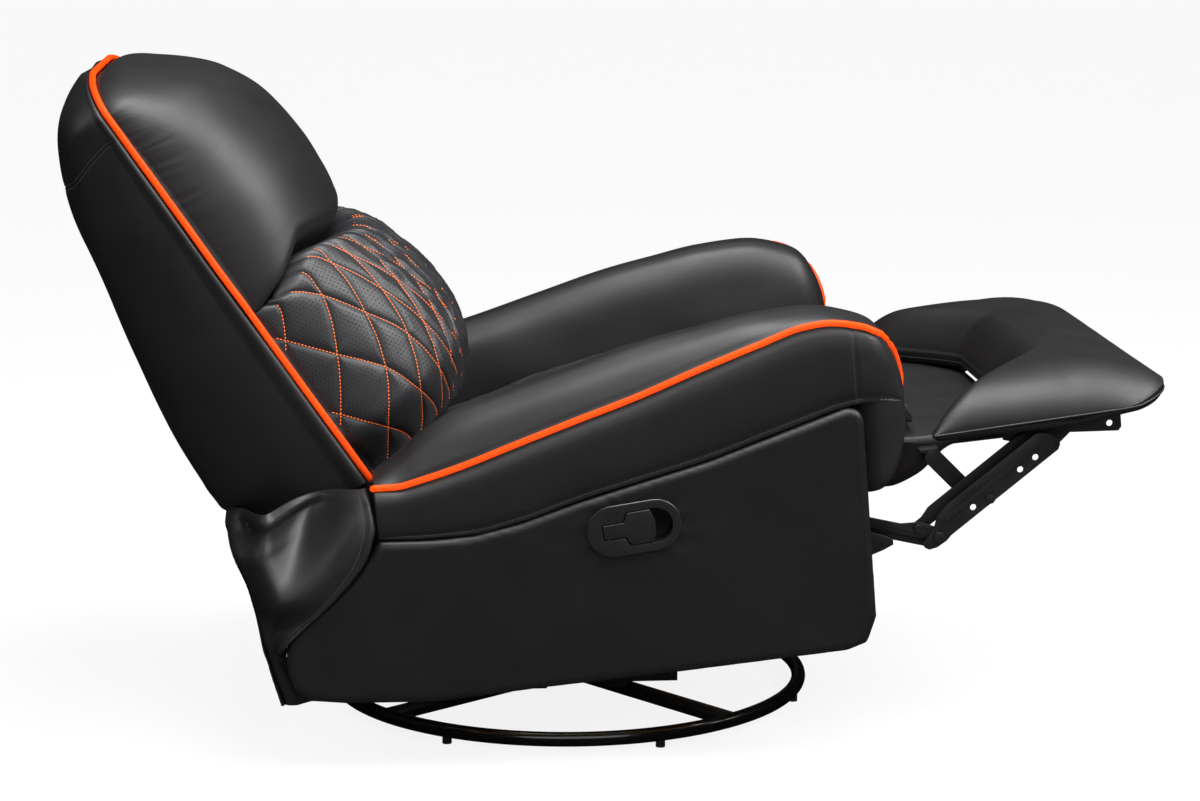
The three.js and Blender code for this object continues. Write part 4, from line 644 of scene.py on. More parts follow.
@dataclass(frozen=True)
class Repeats:
    """Small shapes that repeat: stitches along a seam, holes over a panel and posts on the floor."""

    def carrier(self, points: np.ndarray, lies: np.ndarray, edges: list[tuple[int, int]]) -> bpy.types.Object:
        """Makes the mesh of points that a tree grows things on.

        Args:
            points: places in metres, one a row.
            lies: the surface's outward direction at each.
            edges: which points follow each other along a path.

        Returns:
            The carrier.
        """
        mesh = bpy.data.meshes.new("carrier")
        mesh.from_pydata(points.tolist(), edges, [])
        lie = mesh.attributes.new("lie", "FLOAT_VECTOR", "POINT")
        lie.data.foreach_set("vector", np.asarray(lies, np.float32).ravel())
        return link(bpy.data.objects.new("carrier", mesh))

    def stitches(
        self, name: str, paths: list[tuple[np.ndarray, np.ndarray]], thread: bpy.types.Material,
        pitch: float = 4.6, length: float = 3.4, width: float = 1.1,
    ) -> bpy.types.Object:
        """Sews stitches along paths on a surface.

        Args:
            name: the object's name.
            paths: each path's points and outward directions.
            thread: the thread's finish.
            pitch: from one stitch to the next, in millimetres.
            length: how long a stitch is.
            width: how thick the thread lies.

        Returns:
            The stitches as one mesh.
        """
        points, lies, edges, start = [], [], [], 0
        for path, lie in paths:
            points.append(path)
            lies.append(lie)
            edges += [(start + k, start + k + 1) for k in range(len(path) - 1)]
            start += len(path)
        source = self.carrier(np.concatenate(points), np.concatenate(lies), edges)
        sizes = {"Pitch": pitch, "Length": length, "Width": width}
        tree, entry, names = geometry_tree("stitch row", sizes)
        path = add_node(tree, "GeometryNodeMeshToCurve", None, {"Mesh": entry.outputs["Geometry"]})
        even_path = add_node(
            tree, "GeometryNodeResampleCurve", {"mode": "LENGTH"},
            {"Curve": path.outputs["Curve"], "Length": entry.outputs["Pitch"]},
        )
        tangent = add_node(tree, "GeometryNodeInputTangent")
        turned = add_node(
            tree, "FunctionNodeAlignRotationToVector", {"axis": "X", "pivot_axis": "Z"},
            {"Rotation": self.upright(tree), "Vector": tangent.outputs[0]},
        )
        bead = add_node(tree, "GeometryNodeMeshUVSphere", None, {"Segments": 6, "Rings": 4, "Radius": 0.5})
        scale = add_node(
            tree, "ShaderNodeCombineXYZ", None,
            {"X": entry.outputs["Length"], "Y": entry.outputs["Width"], "Z": entry.outputs["Width"]},
        )
        self.scatter(tree, entry, even_path.outputs["Curve"], {
            "Instance": bead.outputs["Mesh"], "Rotation": turned.outputs[0], "Scale": scale.outputs[0],
        })
        return grow(source, name, tree, names, sizes, thread)

    def holes(
        self, name: str, points: np.ndarray, lies: np.ndarray, dark: bpy.types.Material, radius: float,
    ) -> bpy.types.Object:
        """Lays flat discs over the mouths of punched holes on a surface; their near-black finish paints the
        shade inside the holes.

        Args:
            name: the object's name.
            points: the holes' places in metres.
            lies: the surface's outward direction at each.
            dark: the near-black finish, painted shade for the inside of the holes.
            radius: a hole's radius in millimetres.

        Returns:
            The holes as one mesh.
        """
        source = self.carrier(points, lies, [])
        tree, entry, names = geometry_tree("punched holes", {"Radius": radius})
        turned = self.upright(tree)
        mouth = add_node(
            tree, "GeometryNodeMeshCircle", {"fill_type": "NGON"}, {"Vertices": 6, "Radius": 1.0}
        )
        spots = add_node(tree, "GeometryNodeMeshToPoints", None, {"Mesh": entry.outputs["Geometry"]})
        self.scatter(tree, entry, spots.outputs[0], {
            "Instance": mouth.outputs["Mesh"], "Rotation": turned, "Scale": entry.outputs["Radius"],
        })
        return grow(source, name, tree, names, {"Radius": radius}, dark)

    def posts(
        self, name: str, points: np.ndarray, finish: bpy.types.Material, radius: float, height: float,
    ) -> bpy.types.Object:
        """Stands short round posts on points.

        Args:
            name: the object's name.
            points: the middle of each post's foot, in metres.
            finish: the posts' finish.
            radius: a post's radius in millimetres.
            height: how tall it is.

        Returns:
            The posts as one mesh.
        """
        source = self.carrier(points, np.tile([0.0, 0.0, 1.0], (len(points), 1)), [])
        sizes = {"Radius": radius, "Height": height}
        tree, entry, names = geometry_tree("round posts", sizes)
        post = add_node(
            tree, "GeometryNodeMeshCylinder", None,
            {"Vertices": 20, "Radius": entry.outputs["Radius"], "Depth": entry.outputs["Height"]},
        )
        tall = entry.outputs["Height"]
        half = add_node(tree, "ShaderNodeMath", {"operation": "MULTIPLY"}, {0: tall, 1: 0.5})
        up = add_node(tree, "ShaderNodeCombineXYZ", None, {"Z": half.outputs[0]})
        raised = add_node(
            tree, "GeometryNodeTransform", None,
            {"Geometry": post.outputs["Mesh"], "Translation": up.outputs[0]},
        )
        spots = add_node(tree, "GeometryNodeMeshToPoints", None, {"Mesh": entry.outputs["Geometry"]})
        self.scatter(tree, entry, spots.outputs[0], {"Instance": raised.outputs[0]})
        made = grow(source, name, tree, names, sizes, finish)
        made.data.set_sharp_from_angle(angle=SHARP_ANGLE)
        return made

    def upright(self, tree: bpy.types.NodeTree) -> bpy.types.NodeSocket:
        """Turns a shape's own Z along the surface's outward direction.

        Args:
            tree: the geometry tree.

        Returns:
            The rotation.
        """
        vector = {"data_type": "FLOAT_VECTOR"}
        lie = add_node(tree, "GeometryNodeInputNamedAttribute", vector, {"Name": "lie"})
        turned = add_node(
            tree, "FunctionNodeAlignRotationToVector", {"axis": "Z"}, {"Vector": lie.outputs["Attribute"]}
        )
        return turned.outputs[0]

    def scatter(
        self, tree: bpy.types.NodeTree, entry: bpy.types.Node, points: bpy.types.NodeSocket,
        shape: dict[str, bpy.types.NodeSocket],
    ) -> None:
        """Ends a tree: the shape on every point, as real geometry with its finish.

        Args:
            tree: the geometry tree.
            entry: the tree's input node.
            points: where the shapes go.
            shape: the shape, its rotation and its scale, by socket name.
        """
        placed = add_node(tree, "GeometryNodeInstanceOnPoints", None, {"Points": points, **shape})
        real = add_node(tree, "GeometryNodeRealizeInstances", None, {"Geometry": placed.outputs[0]})
        dressed = add_node(
            tree, "GeometryNodeSetMaterial", None,
            {"Geometry": real.outputs[0], "Material": entry.outputs["Finish"]},
        )
        add_node(tree, "NodeGroupOutput", None, {0: dressed.outputs[0]})


REPEATS = Repeats()


# Finishes


class Surface:
    """A material as it is drawn: its shader takes colour, roughness and relief in the object's own place."""

    def __init__(self, name: str) -> None:
        """Starts the material with a plain shader."""
        self.material = bpy.data.materials.new(name)
        self.material.use_nodes = True
        self.tree = self.material.node_tree
        self.tree.nodes.clear()
        self.shader = add_node(self.tree, "ShaderNodeBsdfPrincipled")
        self.out = add_node(self.tree, "ShaderNodeOutputMaterial", None, {"Surface": self.shader.outputs[0]})
        self.place = add_node(self.tree, "ShaderNodeTexCoord").outputs["Object"]

    def texture(
        self, kind: str, size: float, settings: dict | None = None, **inputs: float,
    ) -> bpy.types.NodeSocket:
        """Lays a texture over the object.

        Args:
            kind: Blender's name for the texture node.
            size: how wide its pattern is, in millimetres.
            settings: the node's own properties.
            inputs: its other values, by socket name.

        Returns:
            The texture's value.
        """
        inputs |= {"Vector": self.place, "Scale": 1 / (size * MM)}
        return add_node(self.tree, kind, settings, inputs).outputs[0]

    def colour(self, size: float, low: str, high: str) -> None:
        """Varies the colour between two sRGB values, in soft patches.

        Args:
            size: how wide a patch is, in millimetres.
            low: the colour at one end.
            high: the colour at the other.
        """
        patch = self.texture("ShaderNodeTexNoise", size, Detail=3.0, Roughness=0.55)
        self.blend(patch, low, high)

    def blend(self, share: bpy.types.NodeSocket, low: str, high: str) -> None:
        """Gives the shader a colour between two sRGB values.

        Args:
            share: how far towards the second colour.
            low: the first colour.
            high: the second.
        """
        mix = add_node(self.tree, "ShaderNodeMix", {"data_type": "RGBA"}, {"Factor": share})
        mix.inputs[6].default_value, mix.inputs[7].default_value = linear(low), linear(high)
        self.tree.links.new(mix.outputs[2], self.shader.inputs["Base Color"])

    def roughness(self, size: float, low: float, high: float) -> None:
        """Varies the roughness between two values, in soft patches.

        Args:
            size: how wide a patch is, in millimetres.
            low: the roughness at one end.
            high: the roughness at the other.
        """
        patch = self.texture("ShaderNodeTexNoise", size, Detail=3.0, Roughness=0.55)
        spread = add_node(self.tree, "ShaderNodeMapRange", None, {0: patch, 1: 0.3, 2: 0.7, 3: low, 4: high})
        self.tree.links.new(spread.outputs[0], self.shader.inputs["Roughness"])

    def relief(self, height: bpy.types.NodeSocket, strength: float, depth: float) -> None:
        """Presses a pattern into the surface, over any relief it already has.

        Args:
            height: the pattern.
            strength: how fully it shows.
            depth: how deep it goes, in millimetres.
        """
        inputs = {"Strength": strength, "Distance": depth * MM, "Height": height}
        bump = add_node(self.tree, "ShaderNodeBump", None, inputs)
        for under in list(self.shader.inputs["Normal"].links):
            self.tree.links.new(under.from_socket, bump.inputs["Normal"])
        self.tree.links.new(bump.outputs[0], self.shader.inputs["Normal"])

    def shade(self, **values: float) -> None:
        """Sets plain values of the shader, by socket name with _ for a space."""
        for name, value in values.items():
            self.shader.inputs[name.replace("_", " ")].default_value = value


@dataclass(frozen=True)
class Leather:
    """Coated leather: a fine pebble grain pressed into a soft satin film, with faint stretched patches."""

    name: str
    colour: str
    worn: str
    shine: float
    grain: float = 2.2
    depth: float = 0.10
    wrinkle: float = 14.0
    wrinkle_depth: float = 0.18
    specular: float = 0.5

    def build(self) -> bpy.types.Material:
        """Makes the material.

        Returns:
            The material.
        """
        hide = Surface(self.name)
        hide.shade(Specular_IOR_Level=self.specular)
        hide.colour(90, self.colour, self.worn)
        hide.roughness(60, self.shine - 0.02, self.shine + 0.03)
        # The real grain is about 0.8 mm wide. It is drawn wider, so that it still shows as a broken sheen.
        pebble = hide.texture(
            "ShaderNodeTexVoronoi", self.grain, {"feature": "DISTANCE_TO_EDGE"}, Randomness=0.9
        )
        round_off = add_node(
            hide.tree, "ShaderNodeMapRange", {"interpolation_type": "SMOOTHSTEP"},
            {0: pebble, 1: 0.0, 2: 0.22, 3: 0.0, 4: 1.0},
        )
        hide.relief(round_off.outputs[0], 0.35, self.depth)
        soft = hide.texture("ShaderNodeTexNoise", self.wrinkle, Detail=2.0, Distortion=0.6)
        hide.relief(soft, 0.5, self.wrinkle_depth)
        return hide.material


@dataclass(frozen=True)
class PowderCoat:
    """Powder coated steel: an even film with a faint orange peel, duller where dust sits."""

    name: str
    colour: str
    dust: str
    shine: float
    peel: float = 1.6
    depth: float = 0.05
    metallic: float = 0.0
    coat: float = 0.0

    def build(self) -> bpy.types.Material:
        """Makes the material.

        Returns:
            The material.
        """
        film = Surface(self.name)
        film.shade(Metallic=self.metallic, Coat_Weight=self.coat)
        film.colour(60, self.colour, self.dust)
        film.roughness(18, self.shine - 0.06, self.shine + 0.08)
        film.relief(film.texture("ShaderNodeTexNoise", self.peel, Detail=2.0), 0.3, self.depth)
        return film.material


@dataclass(frozen=True)
class Thread:
    """Bonded polyester thread: twisted plies that catch the light in fine slanted lines."""

    name: str
    colour: str
    lit: str

    def build(self) -> bpy.types.Material:
        """Makes the material.

        Returns:
            The material.
        """
        twist = Surface(self.name)
        twist.shade(Roughness=0.5)
        twist.colour(2.5, self.colour, self.lit)
        twist.relief(twist.texture("ShaderNodeTexWave", 3.0, {"bands_direction": "DIAGONAL"}), 0.4, 0.1)
        return twist.material


@dataclass(frozen=True)
class Plywood:
    """Raw plywood: pale veneers in thin layers, with long darker streaks of grain."""

    name: str
    colour: str
    streak: str

    def build(self) -> bpy.types.Material:
        """Makes the material.

        Returns:
            The material.
        """
        board = Surface(self.name)
        board.shade(Roughness=0.72)
        stretch = {"Vector": board.place, "Scale": (6.0, 0.7, 6.0)}
        long = add_node(board.tree, "ShaderNodeMapping", None, stretch)
        layer = board.texture("ShaderNodeTexWave", 9, {"bands_direction": "X"}, Distortion=0.4)
        board.place = long.outputs[0]
        grain = board.texture("ShaderNodeTexNoise", 28, Detail=6.0, Roughness=0.7)
        both = add_node(
            board.tree, "ShaderNodeMath", {"operation": "MULTIPLY_ADD"}, {0: layer, 1: 0.25, 2: grain}
        )
        board.blend(both.outputs[0], self.colour, self.streak)
        board.relief(grain, 0.3, 0.3)
        return board.material


@dataclass
class Finishes:
    """Every material of the chair, made once."""

    smooth: bpy.types.Material = field(init=False)
    quilted: bpy.types.Material = field(init=False)
    panel: bpy.types.Material = field(init=False)
    piping: bpy.types.Material = field(init=False)
    orange_thread: bpy.types.Material = field(init=False)
    black_thread: bpy.types.Material = field(init=False)
    grey_thread: bpy.types.Material = field(init=False)
    punched: bpy.types.Material = field(init=False)
    steel: bpy.types.Material = field(init=False)
    tube: bpy.types.Material = field(init=False)
    zinc: bpy.types.Material = field(init=False)
    timber: bpy.types.Material = field(init=False)
    bezel: bpy.types.Material = field(init=False)
    paddle: bpy.types.Material = field(init=False)

    def __post_init__(self) -> None:
        """Makes the materials."""
        # Nappa-like coated leather, satin: broad grey highlights over near black.
        self.smooth = Leather("coated leather, smooth nappa", "#0F0F11", "#161618", 0.47).build()
        # The same hide, punched and quilted, tight over the foam. Its colour is painted lighter than the
        # smooth hide's, for light that falls on the quilted lumbar cushion and seat.
        self.quilted = Leather(
            "coated leather, punched and quilted", "#1A1A1C", "#242427", 0.46, grain=1.9
        ).build()
        # Flat panels of the carcass: the same film over board, with shallower creases.
        self.panel = Leather(
            "coated leather over board", "#0D0D0F", "#121214", 0.46, wrinkle=40.0, wrinkle_depth=0.5
        ).build()
        # Vinyl piping: a bright, slightly glossy film over cord.
        self.piping = Leather(
            "piping vinyl, orange", "#EA3C00", "#F54A02", 0.38, grain=1.4, depth=0.04, wrinkle=6.0,
            wrinkle_depth=0.12, specular=0.12,
        ).build()
        self.orange_thread = Thread("polyester thread, orange", "#FF5A05", "#FF8A30").build()
        self.black_thread = Thread("polyester thread, black", "#0C0C0D", "#232326").build()
        self.grey_thread = Thread("polyester thread, charcoal", "#2A2A2C", "#4A4A4D").build()
        # The mouths of the punched holes: near-black discs that paint the shade inside each hole, and give
        # back almost no light.
        self.punched = Leather("punched hole in leather", "#040405", "#070708", 0.8, depth=0.02).build()
        # Pressed steel parts of the linkage: satin black powder coat.
        self.steel = PowderCoat("powder coat, satin black", "#101012", "#1A1A1B", 0.42, coat=0.1).build()
        # The base ring: gloss powder coat that mirrors the studio in thin bright lines.
        self.tube = PowderCoat("powder coat, gloss black", "#060607", "#0B0B0C", 0.2, coat=0.5).build()
        # Springs, bolts and pins: bright zinc with a slight haze.
        self.zinc = PowderCoat(
            "zinc plated steel", "#A9A9A6", "#C2C2C0", 0.36, peel=0.8, metallic=1.0
        ).build()
        self.timber = Plywood("plywood, raw", "#C79E6B", "#8F6638").build()
        # The handle's surround: moulded ABS with a fine satin texture.
        self.bezel = PowderCoat(
            "ABS, moulded, satin black", "#141415", "#1A1A1B", 0.32, peel=0.9, depth=0.04
        ).build()
        self.paddle = PowderCoat(
            "ABS, moulded, fine matt black", "#101011", "#171718", 0.42, peel=0.7, depth=0.05
        ).build()


FINISH = Finishes()


def dress(obj: bpy.types.Object, material: bpy.types.Material) -> bpy.types.Object:
    """Gives an object one material all over.

    Args:
        obj: the object.
        material: its finish.

    Returns:
        The same object.
    """
    obj.data.materials.clear()
    obj.data.materials.append(material)
    return obj


def soft_piece(
    obj: bpy.types.Object, material: bpy.types.Material, body: str, replaced: str,
) -> bpy.types.Object:
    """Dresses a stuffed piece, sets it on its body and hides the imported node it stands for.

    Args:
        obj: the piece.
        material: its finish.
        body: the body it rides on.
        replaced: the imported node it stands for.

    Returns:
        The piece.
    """
    dress(obj, material)
    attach(obj, body)
    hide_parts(replaced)
    log.info("padded piece %s: %d points", obj.name, len(obj.data.vertices))
    return obj


def trim_piece(obj: bpy.types.Object, body: str, replaced: str | None = None) -> bpy.types.Object:
    """Sets a trim piece, such as piping or stitches, on its body.

    Args:
        obj: the piece.
        body: the body it rides on.
        replaced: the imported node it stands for, if any.

    Returns:
        The piece.
    """
    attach(obj, body)
    if replaced is not None:
        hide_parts(replaced)
    log.info("trim %s: %d points", obj.name, len(obj.data.vertices))
    return obj


def on_skin(skin: Skin, rows: np.ndarray, columns: np.ndarray, lift: float) -> tuple[np.ndarray, np.ndarray]:
    """Finds a path's points and outward directions on a skin.

    Args:
        skin: the body under the path.
        rows: broken row numbers along the path.
        columns: broken column numbers along the path.
        lift: how far the path lies proud, in millimetres.

    Returns:
        The points in metres and the outward directions.
    """
    lies = lattice_read(skin.normals(), rows, columns)
    lies /= np.linalg.norm(lies, axis=-1, keepdims=True)
    return skin.at(rows, columns) + lies * lift * MM, lies


def from_ends(count: int) -> np.ndarray:
    """How many steps each of a run of points is from the nearer end."""
    return np.minimum(np.arange(count), count - 1 - np.arange(count))


def seam_gap(a: np.ndarray, b: np.ndarray) -> np.ndarray:
    """How far a place is from the nearest seam of a lattice, whose seams run where a or b is whole."""
    return np.minimum(np.abs(a - np.round(a)), np.abs(b - np.round(b)))


# Back


@dataclass
class Backrest:
    """The reclining back: its outer shell, head pillow, quilted lumbar cushion and piping."""

    half: float = 300.0
    height: float = 646.0
    corner_across: float = 190.0
    corner_up: float = 60.0
    depth_foot: float = 204.0
    foot_rise: float = 72.0
    foot_curve: float = 1.6
    rim: float = 10.0
    squareness: float = 5.0
    roundness: float = 2.6
    swell_power: float = 2.4
    pillow_bulge: float = 179.0
    lumbar_bulge: float = 220.0
    lumbar_foot: float = -14.0
    lumbar_foot_half: float = 243.0
    piping: float = 4.6
    diamond_up: float = 126.0
    diamond_zero: float = 107.0
    groove: float = 4.6
    shell_columns: int = 64
    hidden_columns: int = 12
    pillow_columns: int = 77
    lumbar_columns: int = 113
    gusset_seam: float = 0.747
    gusset_dip: float = 0.034
    seam_clear: float = 6.5
    shell_waves: tuple[Wave, ...] = (Wave(120, 1.6, 3), Wave(45, 0.7, 4, (1, 1, 0.5)))
    pillow_waves: tuple[Wave, ...] = (Wave(90, 1.4, 9), Wave(36, 0.25, 10, (0.6, 1, 1)))
    gather: Wave = Wave(13, 1.0, 7)
    gather_height: float = 0.35
    lumbar_wave: Wave = Wave(20, 0.25, 24)
    fold_sway: Wave = Wave(60, 0.5, 21)
    fold_slack: Wave = Wave(70, 0.4, 23)
    fold_height: float = 1.8
    folds_across: int = 21
    puff: float = 1.6
    pillow_tuck: float = 26.0
    lumbar_tuck: float = 22.0
    piping_sag: Wave = Wave(60, 0.5, 31)
    depth_rows: Rows = (
        (0, 1), (0.087, 1), (0.24, 0.966), (0.36, 0.905), (0.47, 0.836), (0.6, 0.737), (0.69, 0.673),
        (0.78, 0.609), (0.86, 0.514), (0.91, 0.437), (0.96, 0.321), (0.985, 0.2), (1, 0.06),
    )
    pillow_rows: Rows = (
        (0.4, 0.86), (0.43, 0.895), (0.47, 0.94), (0.545, 0.98), (0.62, 1), (0.735, 0.955), (0.84, 0.79),
        (0.93, 0.42), (0.98, 0.2), (0.994, 0.1),
    )
    lumbar_rows: Rows = (
        (0, 0.52), (0.06, 0.8), (0.17, 0.915), (0.28, 0.977), (0.39, 1), (0.52, 1), (0.66, 0.968),
        (0.83, 0.9), (0.95, 0.82), (1.1, 0.74),
    )
    border_rows: Rows = ((0, 276), (92, 279), (189, 294), (236, 301), (262, 290), (284, 276), (300, 270))
    diamond_rows: Rows = (
        (0, -0.2), (0.02, 0), (0.072, 0.5), (0.13, 1), (0.17, 1.5), (0.2135, 2), (0.242, 2.5), (0.27, 3),
        (0.325, 4), (0.38, 5), (0.44, 6), (0.5, 7),
    )
    diamond_dips: Rows = ((0.0, -12), (0.13, 0), (0.21, 6), (0.5, 6))
    diamond_widths: Rows = ((0.0, 70), (0.13, 64), (0.25, 46), (0.5, 34))

    def half_at(self, s: np.ndarray, inset: float) -> np.ndarray:
        """Half the back's width at a height up its slope."""
        t = np.clip((np.asarray(s, float) - (self.height - self.corner_up)) / (self.corner_up - inset), 0, 1)
        rounding = np.sqrt(np.maximum(0, 1 - t * t))
        return self.half - self.corner_across + (self.corner_across - inset) * rounding

    def border(self, x: np.ndarray) -> np.ndarray:
        """The height of the seam between pillow and lumbar cushion."""
        return smooth_rows(self.border_rows, np.abs(x))

    def shell(self) -> Skin:
        """The outer back with its side gussets.

        Returns:
            The shell before it is stuffed.
        """
        share = 1 - (1 - np.linspace(0, 0.9985, 72)) ** 1.45
        s = share * self.height
        turn = np.linspace(0, math.pi, self.shell_columns)
        wave = np.sign(np.cos(turn)) * np.abs(np.cos(turn)) ** 0.55
        half = self.half_at(s, 0)[:, None]
        x = half * wave
        edge = np.minimum(1, np.abs(wave))
        depth = (self.depth_foot * smooth_rows(self.depth_rows, share))[:, None]
        n = -np.maximum(depth * (1 - edge**self.squareness) ** (1 / self.roundness), 0.6)
        rise = (np.maximum(0, 1 - share * 6) * self.foot_rise)[:, None]
        up = s[:, None] + rise * (-n / self.depth_foot) ** self.foot_curve
        front = np.linspace(-1, 1, self.hidden_columns)[1:-1]
        x = np.concatenate([x, half * front], 1)
        n = np.concatenate([n, np.full((len(s), len(front)), -0.5)], 1)
        up = np.concatenate([up, np.repeat(s[:, None], len(front), 1)], 1)
        return Skin(CHAIR.on_back(x, up, n))

    def dome(
        self, low: Callable, high: Callable, rows: int, columns: int, share_of: Callable, bulge: Callable,
        half: Callable, roll: Callable,
    ) -> Skin:
        """A padded front, domed across, with a flat hidden back.

        Args:
            low: lower end in s for a place across, as a function of x.
            high: upper end in s, as a function of x.
            rows: how many rows from end to end.
            columns: how many points across the front.
            share_of: spreads the rows from 0 to 1.
            bulge: how far the middle stands forward at s.
            half: half the width at s.
            roll: share of the bulge that is left near the ends, from s, low and high.

        Returns:
            The skin.
        """
        turn = np.linspace(0, math.pi, columns)
        across = -np.cos(turn)
        t = share_of(np.linspace(0, 1, rows))[:, None]
        x = across * self.half
        low_s, high_s = low(x), high(x)
        s = low_s + (high_s - low_s) * t
        swell = np.maximum(0, 1 - np.abs(across) ** self.swell_power) ** (1 / self.swell_power)
        n = bulge(s) * swell * roll(s, low_s, high_s)
        wide = half(s) * across
        back = np.linspace(1, -1, self.hidden_columns)[1:-1]
        back_s = s[:, -1:] + (s[:, :1] - s[:, -1:]) * (1 - back) / 2
        wide = np.concatenate([wide, half(back_s) * back], 1)
        s = np.concatenate([s, back_s], 1)
        n = np.concatenate([n, np.full((rows, len(back)), 0.0)], 1)
        return Skin(CHAIR.on_back(wide, s, n))

    def build(self) -> None:
        """Makes the whole back."""
        self.build_shell()
        self.build_pillow()
        self.build_lumbar()
        self.build_piping()

    def build_shell(self) -> None:
        """Makes the outer shell and the double row of stitches on its side gussets."""
        columns = self.shell_columns
        base = self.shell()
        held = np.zeros(base.points.shape[:2])
        held[:, columns:] = 1
        held[:, :2] = held[:, columns - 2 : columns] = 1
        held[:1] = 1
        skin = inflate(base, held, cap=5.0, pressure=2.0).finer()
        rows = skin.points.shape[0]
        wave = sum(wave.at(skin.points) for wave in self.shell_waves)
        last = (columns - 1) * FINER
        shown = np.ones(skin.points.shape[1])
        shown[last + 1 :] = 0
        skin.swell(wave * smoothstep(np.arange(rows) / rows, 0.0, 0.05)[:, None] * shown)
        # The gusset's seam leaves the piping near the top, dips as it goes back, and closes across the rear.
        column = np.linspace(3, last - 3, 200)
        side = np.minimum(column, last - column) / (columns * FINER / 2)
        row = (self.gusset_seam - self.gusset_dip * smoothstep(side, 0, 0.5)) * rows
        self.sink_along(skin, row, column, depth=1.5, width=5.0)
        obj = skin.mesh("outer_back")
        soft_piece(obj, FINISH.smooth, "backrest", "back_shell")
        paths = [on_skin(skin, row + offset, column, lift=0.25) for offset in (-1.5, 1.5)]
        stitches = REPEATS.stitches(
            "stitches_back_gusset", paths, FINISH.grey_thread, pitch=4.4, length=3.2, width=0.9
        )
        trim_piece(stitches, "backrest")

    def sink_along(self, skin: Skin, row: np.ndarray, column: np.ndarray, depth: float, width: float) -> None:
        """Presses a shallow groove into a skin.

        Args:
            skin: the skin.
            row: broken row numbers along the groove.
            column: broken column numbers along it.
            depth: how deep it is, in millimetres.
            width: how far from its middle it fades.
        """
        path = skin.at(row, column)
        reach = 6 * width * MM
        near = np.all((skin.points > path.min(0) - reach) & (skin.points < path.max(0) + reach), -1)
        gap = np.linalg.norm(skin.points[near][:, None] - path[None], axis=-1).min(1) / MM
        fall = np.zeros(skin.points.shape[:2])
        fall[near] = np.exp(-((gap / width) ** 2))
        skin.swell(-depth * fall)

    def build_pillow(self) -> None:
        """Makes the smooth head pillow, gathered along its piping."""
        columns = self.pillow_columns
        top = self.height - self.rim

        def share_of(t: np.ndarray) -> np.ndarray:
            """Draws the rows together towards the upper end."""
            return 0.6 * t + 0.4 * (1 - (1 - t) ** 2) - 0.25 * t * (1 - t) * (1 - 2 * t)

        base = self.dome(
            self.border, lambda x: np.full_like(x, top), 46, columns, share_of,
            lambda s: (self.pillow_bulge - 4) * smooth_rows(self.pillow_rows, s / self.height),
            lambda s: self.half_at(s, self.rim), lambda s, low, high: rolled(s - low, self.pillow_tuck, 0.55),
        )
        held = base.held_round(columns)
        held[:, 1] = held[:, columns - 2] = 0.5
        held[:2] = held[-2:] = 1
        skin = inflate(base, held, cap=10.0, slack=0.004).finer()
        rows, count = skin.points.shape[:2]
        front = FINER * (columns - 1)
        u = np.minimum(np.arange(count), front) / front
        edge = np.minimum(u, 1 - u)[None, :]
        up = (np.arange(rows) / (rows - 1))[:, None]
        # Gathers run inward from the piping, and slacken towards the pillow's middle.
        run = up * 520 + 25 * np.sin(edge * 9)
        gather = 1 - 2 * np.abs(self.gather.at(np.stack(np.broadcast_arrays(run * MM, edge * 90 * MM), -1)))
        near = smoothstep(edge, 0.0, 0.015) * (1 - smoothstep(edge, 0.03, 0.13)) * smoothstep(up, 0.15, 0.45)
        drape = sum(wave.at(skin.points) for wave in self.pillow_waves)
        shown = (np.arange(count) < front)[None, :] * 1.0
        skin.swell((gather * self.gather_height * near + drape * smoothstep(edge, 0, 0.06)) * shown)
        obj = skin.mesh("head_pillow_cover")
        soft_piece(obj, FINISH.smooth, "backrest", "head_pillow")

    def build_lumbar(self) -> None:
        """Makes the quilted lumbar cushion with its seams, thread and punched holes."""
        columns, rows = self.lumbar_columns, 41
        reach = self.border_rows[0][1] - self.lumbar_foot
        wider = self.half - self.rim - self.lumbar_foot_half
        base = self.dome(
            lambda x: np.full_like(x, self.lumbar_foot), lambda x: self.border(x) - 1, rows, columns,
            lambda t: t,
            lambda s: (self.lumbar_bulge - 3) * smooth_rows(self.lumbar_rows, (s - self.lumbar_foot) / reach),
            lambda s: self.lumbar_foot_half + wider * smoothstep(s, 0, 70),
            lambda s, low, high: rolled(high - s, self.lumbar_tuck, 0.6),
        )
        skin = inflate(base, base.held_round(columns), cap=5.0, pressure=3.0).finer()
        count = skin.points.shape[1]
        front = FINER * (columns - 1)
        u = np.minimum(np.arange(count), front) / front
        s = self.lumbar_foot + (np.arange(skin.points.shape[0]) / (skin.points.shape[0] - 1)) * reach
        gap = self.thread_gap(u[None, :], s[:, None])
        side = np.minimum(u, 1 - u)[None, :]
        shown = ((np.arange(count) < front)[None, :]) * smoothstep(side, 0, 0.02)
        puff = self.puff - self.groove * np.exp(-gap / 5.0)
        middle = smoothstep(side, 0.2, 0.36)
        # The middle is drawn together, so the leather stands in upright folds there.
        upright = np.stack(np.broadcast_arrays(u[None, :] * 0.9, s[:, None] * 0.0016), -1)
        sway = self.fold_sway.at(upright)
        folds = np.sin((u[None, :] - 0.5) * 2 * math.pi * self.folds_across + sway * 5 + s[:, None] * 0.012)
        folds = 1 - np.abs(folds) ** 0.8 * 2
        upright = np.stack(np.broadcast_arrays(u[None, :], s[:, None] * 0.002), -1)
        loose = 1 - self.fold_slack.height + self.fold_slack.at(upright)
        wrinkle = self.lumbar_wave.at(skin.points)
        skin.swell((puff + folds * self.fold_height * middle * loose + wrinkle) * shown)
        obj = skin.mesh("lumbar_cover")
        soft_piece(obj, FINISH.quilted, "backrest", "lumbar_cushion")
        self.sew_diamonds(skin, front, reach)
        self.punch(skin, front, reach)

    def up_in_diamonds(self, side: np.ndarray, s: np.ndarray) -> np.ndarray:
        """How high a place is, counted in diamonds."""
        dip = np.interp(side, *np.array(self.diamond_dips).T)
        return (s - self.diamond_zero - dip) / self.diamond_up

